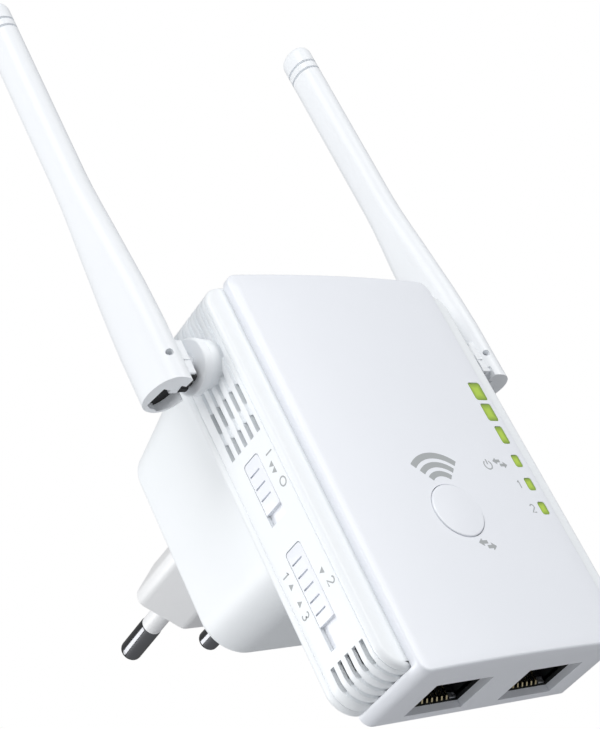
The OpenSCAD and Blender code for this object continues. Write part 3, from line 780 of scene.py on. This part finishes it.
def plug_block():
    """Flat six-sided plug body with rounded corners and an eased end."""
    a, b = PLUG_HALF_W, PLUG_HALF_H
    flat = a - PLUG_SLANT
    corners = [(-a, -1), (-a, 1), (-flat, b), (flat, b), (a, 1), (a, -1), (flat, -b), (-flat, -b)]
    rings = []
    end = [(PLUG_BACK - rise, inset) for rise, inset in ((0.5, 0.0), (0.15, 0.15), (0.0, 0.5))]
    for y, inset in [(BOX_BACK - 0.05, 0.0)] + end:
        shrunk = [(x * (a - inset) / a, z * (b - inset) / b) for x, z in corners]
        loop = rounded_corners(shrunk, PLUG_R, 6)
        rings.append([at(x, y, PLUG_Z + z) for x, z in loop])
    return loft("plug_block", rings, plug_pbt, sharp=28)


def pin_axis(side):
    """Direction and root of a pin; the two lean towards each other."""
    lean = math.atan((PIN_BASE - PIN_TIP) / 2 / PIN_LEN)
    root = at(side * PIN_BASE / 2, PLUG_BACK, PLUG_Z)
    return Vector((-side * math.sin(lean), math.cos(lean), 0)), root


def pin(side):
    """Mains pin with a thin stem inside its sleeve and a round end."""
    axis, root = pin_axis(side)
    neck = SLEEVE_LEN - 0.4
    profile = [(-6, 0), (-6, STEM_R), (neck, STEM_R), (neck, SLEEVE_R), (SLEEVE_LEN + 0.05, PIN_R)]
    run, rise = PIN_LEN - PIN_EASE, PIN_R - PIN_EASE
    profile += [(run + r, rise + h) for r, h in arc(0, 0, PIN_EASE, 90, 0, 6)]
    profile.append((PIN_LEN, 0))
    return turned("pin", profile, root, axis, pin_nickel_painted_dark)


def sleeve(side):
    """Insulating sleeve round the root of a pin."""
    axis, root = pin_axis(side)
    end, ease = SLEEVE_LEN, 0.15
    profile = [(-3, 0), (-3, SLEEVE_BORE), (-3, SLEEVE_R), (end - ease, SLEEVE_R)]
    profile += [(end, SLEEVE_R - ease), (end, SLEEVE_BORE), (end, 0)]
    return turned("sleeve", profile, root, axis, plug_pbt)


# -------------------- aerials
def oval(cx, cy, z, thick, wide, steps=48):
    """Section of an aerial: an oval slightly fuller than an ellipse."""
    out = []
    for i in range(steps):
        a = 2 * math.pi * i / steps
        c, s = math.cos(a), math.sin(a)
        dx = math.copysign(abs(c) ** 0.92, c) * thick / 2
        dy = math.copysign(abs(s) ** 0.92, s) * wide / 2
        out.append(at(cx + dx, cy + dy, z))
    return out


AERIAL_SECTIONS = (
    (54.0, 6.0, 10.95),
    (60.5, 6.0, 11.0),
    (67.2, 6.0, 11.05),
    (72.0, 5.95, 10.7),
    (76.1, 5.85, 10.3),
    (81.6, 5.7, 9.4),
    (88.4, 5.5, 8.3),
    (92.6, 5.37, 7.5),
    (96.7, 5.27, 6.85),
    (100.5, 5.2, 6.6),
    (110.0, 5.2, 6.6),
    (125.0, 5.2, 6.6),
)


def foot_pocket(side, gap):
    """Outline of the hollow in an aerial's foot, drawn in by a gap: flat outside, round inside."""
    cx, cy = side * AERIAL_X, AERIAL_Y
    flat, low = 1.45 - gap, cy - 1.3 + gap
    loop = [(cx + side * flat, low), (cx + side * flat, cy + 3.7 - gap)]
    loop += [(cx + side * (0.6 - gap / 2), cy + 4.4 - gap), (cx - side * 0.4, cy + 4.5 - gap)]
    for i in range(9):
        a = math.radians(15 + 85 * i / 8)
        loop.append((cx - side * (2.72 - gap) * math.sin(a), cy + (5.1 - gap) * math.cos(a)))
    loop.append((cx - side * (2.72 - gap), low))
    return loop


def aerial_blade(side):
    """Blade with a domed tip, two tip rings, a front hole and a hollow, slanting foot."""
    cx, cy = side * AERIAL_X, AERIAL_Y
    rings = [oval(cx, cy, z, t, w) for z, t, w in AERIAL_SECTIONS]
    for z in TIP_RINGS:
        for dz, dent in ((-0.26, 0.0), (-0.22, 0.9), (0.22, 0.9), (0.26, 0.0)):
            rings.append(oval(cx, cy, z + dz, TIP_THICK - dent, TIP_WIDE - dent))
    top = HUB_Z + AERIAL_LEN
    for k in range(9):
        a = math.pi / 2 * k / 8
        shrink = 2.6 * (1 - math.cos(a))
        z = top - TIP_DOME + TIP_DOME * math.sin(a)
        rings.append(oval(cx, cy, z, TIP_THICK - shrink, TIP_WIDE - shrink))
    blade = loft("aerial_blade", rings, aerial_tpe, sharp=40)
    slab = [[], []]
    for dx, dy in ((-5, -8), (5, -8), (5, 8), (-5, 8)):
        foot = AERIAL_FOOT - FOOT_DROP + FOOT_SLOPE[0] * dx + FOOT_SLOPE[1] * dy
        slab[0].append(at(cx + dx, cy + dy, BELOW - 2))
        slab[1].append(at(cx + dx, cy + dy, foot))
    hole = [(-1, 0), (-1, 0.62), (3, 0.62), (3, 0)]
    hollow = foot_pocket(side, 0)
    hollow_rings = [[at(x, y, z) for x, y in hollow] for z in (BELOW, AERIAL_FOOT + 16)]
    slit_x = span(side, NECK_X - 1, NECK_X + NECK_ROOM)
    slot_x = span(side, NECK_X - 1, NECK_X + 1.75)
    recess_x = span(side, NECK_X - 1, AERIAL_X - 0.4)
    y = (cy - 6, cy + 0.7)
    cutters = [
        loft("foot_cutter", slab, aerial_tpe),
        turned("hole_cutter", hole, at(cx - 0.8, cy - 6, HUB_Z), (0, 1, 0), aerial_tpe, 24),
        slab_tool(slit_x, y, (BELOW, HUB_Z - 1.6)),
        slab_tool(slot_x, y, (BELOW, SLOT_TOP)),
        slab_tool(recess_x, (cy - 3.0, cy + 0.7), (BELOW, SLOT_TOP)),
        loft("pocket_cutter", hollow_rings, aerial_tpe),
    ]
    return cut(blade, cutters, 40)


def aerial_neck(side):
    """The neck between ear and blade: an open shoe with a thin front wall and a seam."""
    x = span(side, NECK_X, NECK_X + 2.4)
    y = (NECK_FRONT, NECK_FRONT + NECK_D)
    neck = brick("aerial_neck", x, y, (AERIAL_FOOT, HUB_Z + 2.9), aerial_tpe, 0.12)
    room_x = span(side, NECK_X - 1, NECK_X + NECK_ROOM)
    room_y = (NECK_FRONT + 0.4, NECK_FRONT + 6)
    seam_x = span(side, NECK_X - 1, NECK_X + 3)
    seam_y = (NECK_FRONT - 1, NECK_FRONT + 0.18)
    trims = [
        slab_tool(room_x, room_y, (BELOW, HUB_Z - 0.6)),
        slab_tool(seam_x, seam_y, (59.5, 59.72)),
    ]
    return cut(neck, trims, 40)


def aerial(side):
    """Blade, neck, and the ear with its shaft that turn on the pivot boss."""
    # the ear lies on the boss, set a little to the rear of the pivot
    end, ease = HUB_OUT + 0.55, 0.3
    ear = [(HUB_OUT - 0.8, 0), (HUB_OUT - 0.8, EAR_R), (end - ease, EAR_R)]
    ear += [(end - ease + run, EAR_R - ease + r) for run, r in arc(0, 0, ease, 90, 0, 4)]
    ear.append((end, 0))
    eye_at, shaft_at = at(0, HUB_Y + EAR_BACK, HUB_Z), at(0, HUB_Y, HUB_Z)
    shaft = [(HALF - 4.5, 0), (HALF - 4.5, 2.45), (HALF - 4.3, 2.6), (HUB_OUT, 2.6)]
    shaft += [(HUB_OUT, 1.3), (NECK_X + 0.8, 1.3), (NECK_X + 0.8, 0)]
    bar_x = span(side, NECK_X + 0.9, NECK_X + 2.0)
    parts = [
        aerial_blade(side),
        turned("aerial_ear", ear, eye_at, (side, 0, 0), aerial_tpe, 96),
        aerial_neck(side),
    ]
    for deep in (NECK_D, 1.5):
        y = (NECK_FRONT + 0.1, NECK_FRONT + deep)
        parts.append(brick("aerial_bar", bar_x, y, (SLOT_TOP, 60.0), aerial_tpe, 0.12))
    parts.append(turned("aerial_shaft", shaft, shaft_at, (side, 0, 0), aerial_tpe, 40))
    return join(parts)


def slit_shade_pad(side):
    """Black ribbed pad in the neck's open underside, set there as painted shade so the slit between
    blade and ear reads black.
    """
    inner = NECK_X - NECK_ROOM
    x = span(side, inner, NECK_X + 0.85)
    sole_x = span(side, inner, NECK_X + 1.7)
    top = HUB_Z - 0.8
    y = (AERIAL_Y - 3.4, AERIAL_Y + 0.6)
    sole_z = (AERIAL_FOOT + 0.2, AERIAL_FOOT + 0.75)
    parts = [
        brick("slit_shade_pad", x, y, (AERIAL_FOOT + 0.4, top), painted_shade_black, 0.15),
        brick("pad_sole", sole_x, y, sole_z, painted_shade_black, 0.1),
    ]
    for k in range(3):
        front = y[0] + 0.3 + 1.3 * k
        z = (AERIAL_FOOT + 0.1, top - 0.1)
        parts.append(brick("pad_rib", x, (front, front + 0.8), z, painted_shade_black, 0.1))
    return join(parts)


def hollow_shade_plug(side):
    """Black plug a little way up the hollow of an aerial's foot, painted shade that makes the
    hollow read dark.
    """
    loop = foot_pocket(side, 0.06)
    rings = [[at(x, y, AERIAL_FOOT + rise) for x, y in loop] for rise in (1.1, 4.0)]
    return loft("hollow_shade_plug", rings, painted_shade_black, sharp=40)


# -------------------- controls
def window_loop(low, high, inset):
    """Outline of a switch window in y and z, with round upper corners."""
    y0, y1 = SWITCH_Y[0] + inset, SWITCH_Y[1] - inset
    r = 0.7 - inset
    loop = [(y1, low), (y0, low)]
    loop += arc(y0 + r, high - inset - r, r, 180, 90, 5)
    loop += arc(y1 - r, high - inset - r, r, 90, 0, 5)
    return loop


def slider(window, cap_low, grips):
    """Cap with fine grips in its window, on a light carrier that slides in the wall's pocket."""
    rings = []
    for x, inset in ((-HALF + WALL, 0.1), (-HALF + 0.06, 0.1), (-HALF, 0.14), (-HALF - 0.04, 0.26)):
        loop = window_loop(cap_low + inset - 0.1, window[1] - 0.06, inset)
        rings.append([at(x, y, z) for y, z in loop])
    cap = loft("slider_cap", rings, cover_abs)
    x, y = (-HALF - 1, -HALF + 0.5), (7.35, 10.0)
    cap = cut(cap, [slab_tool(x, y, (z - 0.15, z + 0.15)) for z in grips])
    carrier = brick(
        "slider_carrier",
        (-HALF + POCKET + 0.05, -HALF + WALL - 0.1),
        (SWITCH_Y[0] - 0.4, SWITCH_Y[1] + 0.4),
        (window[0] - CARRIER_FOOT, window[1] + 0.8),
        cover_abs,
        0.1,
    )
    return join([cap, carrier])


def pair_button():
    """Round button with an eased rim, a little above the cover."""
    r = BUTTON_R - 0.12
    profile = [(-1.55, 0), (-1.55, r), (0.75, r)]
    profile += [(0.75 + run, r - 0.22 + h) for run, h in arc(0, 0, 0.22, 90, 0, 6)]
    profile.append((0.99, 0))
    return turned("pair_button_cap", profile, at(0, 0, BUTTON_Z), (0, -1, 0), cover_abs, 72)


def light_guides():
    """Six green lenses; each knows how far every point is from its rim, for the glow and for the
    shade painted at the rim.
    """
    parts = []
    for z, w, h in LAMPS:
        rings = []
        loop = pill_loop(0, 0, w - 0.04, h - 0.04, 0.45)
        for k, drop in [(1.0, 1.9), (1.0, 0.06)] + [(k, 0.0) for k in (0.96, 0.8, 0.6, 0.4, 0.2)]:
            y = bow(LAMP_X) + 0.1 + drop
            rings.append([at(LAMP_X + dx * k, y, z + dz * k) for dx, dz in loop])
        lens = loft("signal_lens", rings, green_window, sharp=40)
        field = lens.data.attributes.new("glow_and_rim_shade", "FLOAT", "POINT")
        centre = at(LAMP_X, 0, z)
        for v in lens.data.vertices:
            off = v.co - centre
            reach = max(abs(off.x) / (w / 2 * MM), abs(off.z) / (h / 2 * MM))
            # the value drops towards the rim, where the lens is painted darker as shade from the
            # recess walls
            field.data[v.index].value = min(1.0, max(0.0, (0.95 - reach) * 1.6))
        parts.append(lens)
    return join(parts)


def jack(x):
    """Black socket body with its cavity and guide rib, and the small clip at its rear corner."""
    body_z, nose_z = (FLOOR_T + 0.02, 17.8), (JACK_MOUTH, FLOOR_T + 0.5)
    nose = (x - NOSE_HALF, x + NOSE_HALF)
    body = brick("jack_body", (x - 7.3, x + 7.3), (4.35, 14.1), body_z, jack_pbt, 0.2)
    mouth = brick("jack_mouth", nose, NOSE_Y, nose_z, jack_pbt)
    y = (SOCKET_Y[0] - 0.01, SOCKET_Y[1] + 0.01)
    reach = SOCKET_HALF + 0.01
    for part in (body, mouth):
        cut(part, [slab_tool((x - reach, x + reach), y, (0, 14.3))])
    rib = brick("jack_rib", (x - 2.2, x + 2.2), (5.05, 6.2), (3.4, 13.0), jack_pbt, 0.15)
    step = brick("jack_step", (x - 5.9, x + 5.9), (12.9, 13.95), (6.4, 7.6), jack_pbt, 0.1)
    clip = brick("jack_clip", (x + 4.3, x + 5.6), (13.5, 13.85), (1.5, 2.6), tin_steel, 0.1)
    cut(clip, [slab_tool((x + 4.7, x + 5.3), (13, 13.7), (1.8, 2.3))])
    return join([body, mouth, rib, step]), clip


def jack_contacts(x):
    """Eight sprung wires, each bent back from the socket's rear wall."""
    wire = []
    bends = ((13.75, 1.5), (13.35, 1.9), (13.3, 3.6), (12.4, 4.5))
    bends += ((9.2, 9.6), (8.6, 10.4), (8.6, 13.8))
    for k, (y, z) in enumerate(bends):
        before = Vector(bends[max(k - 1, 0)])
        after = Vector(bends[min(k + 1, len(bends) - 1)])
        run = (after - before).normalized()
        n = Vector((run.y, -run.x)) * 0.13
        left = x - 3.5 * CONTACT_PITCH
        square = ((-0.15, -1), (0.15, -1), (0.15, 1), (-0.15, 1))
        wire.append([at(left + dx, y + n.x * way, z + n.y * way) for dx, way in square])
    one = loft("contact_wire", wire, contact_gold)
    return repeat(one, "contact_row", 8, (CONTACT_PITCH * MM, 0, 0), contact_gold)


# -------------------- printed marks
INK_TOP = 0.015
INK_ROOT = -0.02


def on_face(u, v, lift):
    """The bowed face as its viewer sees it."""
    return at(u, bow(u) - lift, v)


def mirrored_side(u, v, lift):
    """The left wall as its viewer sees it: u grows towards the front."""
    return at(-HALF - lift, -u, v)


def ribbon(points, width, place, closed=False):
    """A flat strip of ink along a line."""
    pts = [Vector(p) for p in points]
    count = len(pts)
    rows = []
    for i, p in enumerate(pts):
        before = pts[i - 1] if closed or i else p
        after = pts[(i + 1) % count] if closed or i < count - 1 else p
        run = (after - before).normalized()
        n = Vector((-run.y, run.x)) * width / 2
        square = ((1, INK_TOP), (-1, INK_TOP), (-1, INK_ROOT), (1, INK_ROOT))
        rows.append([place(*(p + n * way), lift) for way, lift in square])
    vertices = [v for row in rows for v in row]
    faces = []
    for i in range(count if closed else count - 1):
        j = (i + 1) % count
        for k in range(4):
            n = (k + 1) % 4
            faces.append((4 * i + k, 4 * i + n, 4 * j + n, 4 * j + k))
    if not closed:
        faces += [(0, 1, 2, 3), tuple(4 * (count - 1) + k for k in range(4))]
    return vertices, faces


def patch(points, place):
    """A filled convex shape of ink."""
    count = len(points)
    vertices = [place(*p, lift) for lift in (INK_TOP, INK_ROOT) for p in points]
    return vertices, [tuple(range(count)), tuple(range(count, 2 * count))] + skin(2, count)


def printed(name, shapes, ink):
    """All ink shapes as one piece."""
    vertices, faces = [], []
    for some, links in shapes:
        base = len(vertices)
        vertices += some
        faces += [tuple(base + i for i in face) for face in links]
    return make(name, vertices, faces, ink)


def moved(points, cu, cv, size, turn=0.0):
    """Unit-size points placed at a centre, scaled and turned by an angle in degrees."""
    c, s = math.cos(math.radians(turn)), math.sin(math.radians(turn))
    return [(cu + size * (u * c - v * s), cv + size * (u * s + v * c)) for u, v in points]


DIGITS = {
    "1": [(-0.18, 0.28), (0.06, 0.5), (0.06, -0.5)],
    "2": arc(0, 0.2, 0.3, 160, -20, 8) + [(-0.3, -0.5), (0.32, -0.5)],
    "3": arc(0, 0.24, 0.26, 150, -80, 8) + arc(0, -0.22, 0.28, 80, -150, 8),
    "I": [(0, 0.5), (0, -0.5)],
    "O": arc(0, 0, 0.44, 0, 360, 20)[:-1],
}
TRIANGLE = [(-0.5, -0.45), (0.5, -0.45), (0, 0.5)]


def digit(kind, u, v, size, place, turn=0.0):
    """One number or sign, drawn as a line."""
    return ribbon(moved(DIGITS[kind], u, v, size, turn), 0.15 * size, place, kind == "O")


def double_arrow(u, v, size, place):
    """Two fat arrows that point apart, the left one higher."""
    shapes = []
    for way in (-1, 1):
        cu, cv = u + way * 0.23 * size, v - way * 0.15 * size
        shaft = [(way * -0.3, -0.1), (way * 0.05, -0.1), (way * 0.05, 0.1), (way * -0.3, 0.1)]
        head = [(way * 0.02, -0.24), (way * 0.33, 0), (way * 0.02, 0.24)]
        shapes += [patch(moved(part, cu, cv, size), place) for part in (shaft, head)]
    return shapes


def face_marks():
    """Three arcs over the button, double arrows, a power sign, and numbers beside two lamps."""
    shapes = []
    for outer, inner in ((7.2, 6.1), (5.4, 4.4), (3.7, 2.7)):
        middle = (outer + inner) / 2
        shapes.append(ribbon(arc(0.2, 29.0, middle, 133, 47, 24), outer - inner, on_face))
    shapes += double_arrow(2.45, 18.9, 3.0, on_face)
    shapes.append(ribbon(moved(arc(0, 0, 0.42, 125, 415, 20), 12.1, 33.5, 2.0), 0.24, on_face))
    shapes.append(ribbon([(12.1, 33.6), (12.1, 34.6)], 0.24, on_face))
    shapes += double_arrow(15.1, 33.8, 2.7, on_face)
    for kind, v in (("1", 29.6), ("2", 24.9)):
        shapes.append(digit(kind, 17.0, v, 1.5, on_face))
    return printed("printed_marks_front", shapes, ink_grey)


def side_marks():
    """Switch positions, read from above down, with a small triangle towards each switch."""
    shapes = []
    signs = (("I", 4.1, 40.9), ("O", 4.0, 35.6), ("2", 4.1, 18.2), ("1", 12.2, 24.2))
    for kind, y, z in signs + (("3", 12.0, 17.2),):
        shapes.append(digit(kind, -y, z, 1.6, mirrored_side, -90))
    pointers = ((4.8, 39.1, 90), (4.75, 38.0, 90), (5.0, 20.4, 90), (12.0, 22.3, -90))
    for y, z, turn in pointers + ((11.9, 19.3, -90),):
        shapes.append(patch(moved(TRIANGLE, -y, z, 1.05, turn), mirrored_side))
    return printed("printed_marks_side", shapes, ink_grey)


# -------------------- put together
def seat(piece, name, body, slot, *nodes):
    """Names a piece, ties it to its body and hides the nodes it stands for; the slot argument is
    not used.
    """
    piece.name = name
    piece.data.name = name
    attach(piece, body)
    if nodes:
        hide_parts(*nodes)


seat(front_cover(), "front_cover_shell", "housing", "cover_white", "front_cover")
seat(mid_frame(), "ribbed_frame", "housing", "frame_white", "mid_frame")
seat(rear_housing(), "power_box_shell", "housing", "frame_white", "rear_housing")
seat(plug_block(), "plug_body", "housing", "plug_white", "plug_block")
for side, label in ((-1, "left"), (1, "right")):
    seat(pin(side), "mains_pin_" + label, "housing", "pin_chrome", "pin_" + label)
    seat(sleeve(side), "pin_sleeve_" + label, "housing", "plug_white", "sleeve_" + label)
    socket = SOCKETS[0] if side < 0 else SOCKETS[1]
    body, clip = jack(socket)
    seat(body, "socket_body_" + label, "housing", "jack_black", "jack_" + label)
    seat(clip, "socket_clip_" + label, "housing", "steel")
    wires, wire_node = jack_contacts(socket), "jack_contacts_" + label
    seat(wires, "socket_contacts_" + label, "housing", "contact_gold", wire_node)
    swing = label + "_aerial"
    seat(aerial(side), "folding_aerial_" + label, swing, "aerial_white", "aerial_" + label)
    # a black pad put in the aerial's slit as painted shade
    seat(slit_shade_pad(side), "slit_shade_pad_" + label, swing, "jack_black")
    # a black plug in the foot's hollow as painted shade
    seat(hollow_shade_plug(side), "hollow_shade_plug_" + label, swing, "jack_black")
cap = slider(POWER_Z, POWER_CAP_LOW, (40.3, 38.05, 36.0))
seat(cap, "power_switch_cap", "power_slider", "cover_white", "power_slider")
cap = slider(MODE_Z, MODE_CAP_LOW, (24.5, 22.3, 20.2, 18.05, 15.95))
seat(cap, "mode_switch_cap", "mode_slider", "cover_white", "mode_slider")
seat(pair_button(), "pair_button_cap", "pair_button", "cover_white", "pair_button")
seat(light_guides(), "signal_lenses", "housing", "lens_green", "light_guides")
seat(face_marks(), "printed_marks_front", "housing", "cable_black")
seat(side_marks(), "printed_marks_side", "housing", "cable_black")


# the inner parts keep their CAD shape and only get their finish here
INNER = {
    mask_green: ("main_board",),
    mask_tan: ("power_board",),
    tin_steel: ("dome_switch", "rf_shield"),
    lamp_resin: ("lamp_chips",),
    switch_nylon: ("power_switch_body", "mode_switch_body"),
    chip_epoxy: ("processor", "rectifier"),
    pad_silicone: ("heat_pad",),
    ferrite: ("transformer_core",),
    tape_yellow: ("transformer_winding",),
    can_sleeve: ("bulk_capacitor", "output_capacitor"),
    fuse_ceramic: ("fuse",),
    header_nylon: ("board_header",),
    copper_rod: ("radiator_left", "radiator_right"),
    spring_steel: ("pivot_clip_left", "pivot_clip_right"),
    cable_fep: ("coax_left", "coax_right"),
    screw_zinc: ("board_screws",),
}
for finish, names in INNER.items():
    for name in names:
        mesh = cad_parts[name].data
        mesh.materials.clear()
        mesh.materials.append(finish)


# -------------------- camera, floor, light
def aim(thing, target):
    """Turns a light towards a point."""
    thing.rotation_euler = (Vector(target) - thing.location).to_track_quat("-Z", "Y").to_euler()


def soft_light(name, place, target, size, power):
    """A square area light that faces a point."""
    lamp = bpy.data.lights.new(name, "AREA")
    lamp.size = size
    lamp.energy = power
    holder = put(name, lamp)
    holder.location = place
    aim(holder, target)


# the camera's turns in radians and its place in millimetres
yaw, pitch, roll = 0.823, 0.490, -0.472
camera_place = at(-197.5, -168.45, -77.8)
level = Vector((math.cos(yaw), -math.sin(yaw), 0))
forward = Vector((math.sin(yaw), math.cos(yaw), 0)) * math.cos(pitch)
forward.z = math.sin(pitch)
upright = level.cross(forward)
right = level * math.cos(roll) + upright * math.sin(roll)
up = upright * math.cos(roll) - level * math.sin(roll)
lens = bpy.data.cameras.new("camera")
lens.sensor_fit = "VERTICAL"
lens.sensor_height = 36.0
lens.sensor_width = 36.0
lens.lens = 89.47
lens.clip_start = 0.01
camera = put("camera", lens)
turn = Matrix((right, up, -forward)).transposed().to_4x4()
camera.matrix_world = Matrix.Translation(camera_place) @ turn
bpy.context.scene.camera = camera

floor_material, tree, where = new_material("pale_studio_floor")
grain = add(tree, "ShaderNodeTexNoise", {"Vector": where, "Scale": 30.0, "Detail": 2.0})
shades = {0: grain.outputs["Fac"], 6: linear("#C9CACC"), 7: linear("#C5C6C8")}
tone = add(tree, "ShaderNodeMix", shades, data_type="RGBA")
shader = add(tree, "ShaderNodeBsdfPrincipled", {"Base Color": tone.outputs[2], "Roughness": 0.8})
add(tree, "ShaderNodeOutputMaterial", {"Surface": shader.outputs[0]})
ground = bpy.data.meshes.new("studio_floor")
floor_corners = [(x, y, -0.3) for x, y in ((-3, -3), (3, -3), (3, 3), (-3, 3))]
ground.from_pydata(floor_corners, [], [(0, 1, 2, 3)])
ground.materials.append(floor_material)
put("studio_floor", ground)

world = bpy.data.worlds.new("studio_air")
world.use_nodes = True
tree = world.node_tree
tree.nodes.clear()
sky = add(tree, "ShaderNodeBackground", {"Color": (1, 1, 1, 1), "Strength": 0.21})
seen = add(tree, "ShaderNodeBackground", {"Color": (1, 1, 1, 1), "Strength": 1.0})
path = add(tree, "ShaderNodeLightPath")
sides = {0: path.outputs["Is Camera Ray"], 1: sky.outputs[0], 2: seen.outputs[0]}
blend = add(tree, "ShaderNodeMixShader", sides)
add(tree, "ShaderNodeOutputWorld", {"Surface": blend.outputs[0]})
bpy.context.scene.world = world
bpy.context.scene.view_settings.view_transform = "Standard"

# name, place, size and power
LIGHTS = (
    ("key", (-0.7, -0.6, 0.7), 0.5, 6.0),
    ("front", (0.3, -1.0, 0.35), 0.6, 5.8),
    ("left", (-1.2, 0.15, 0.3), 0.6, 4.5),
    ("left_back", (-0.9, 0.9, 0.12), 0.6, 6.0),
)
for name, place, size, power in LIGHTS:
    soft_light(name, place, (0, 0, 0.02), size, power)
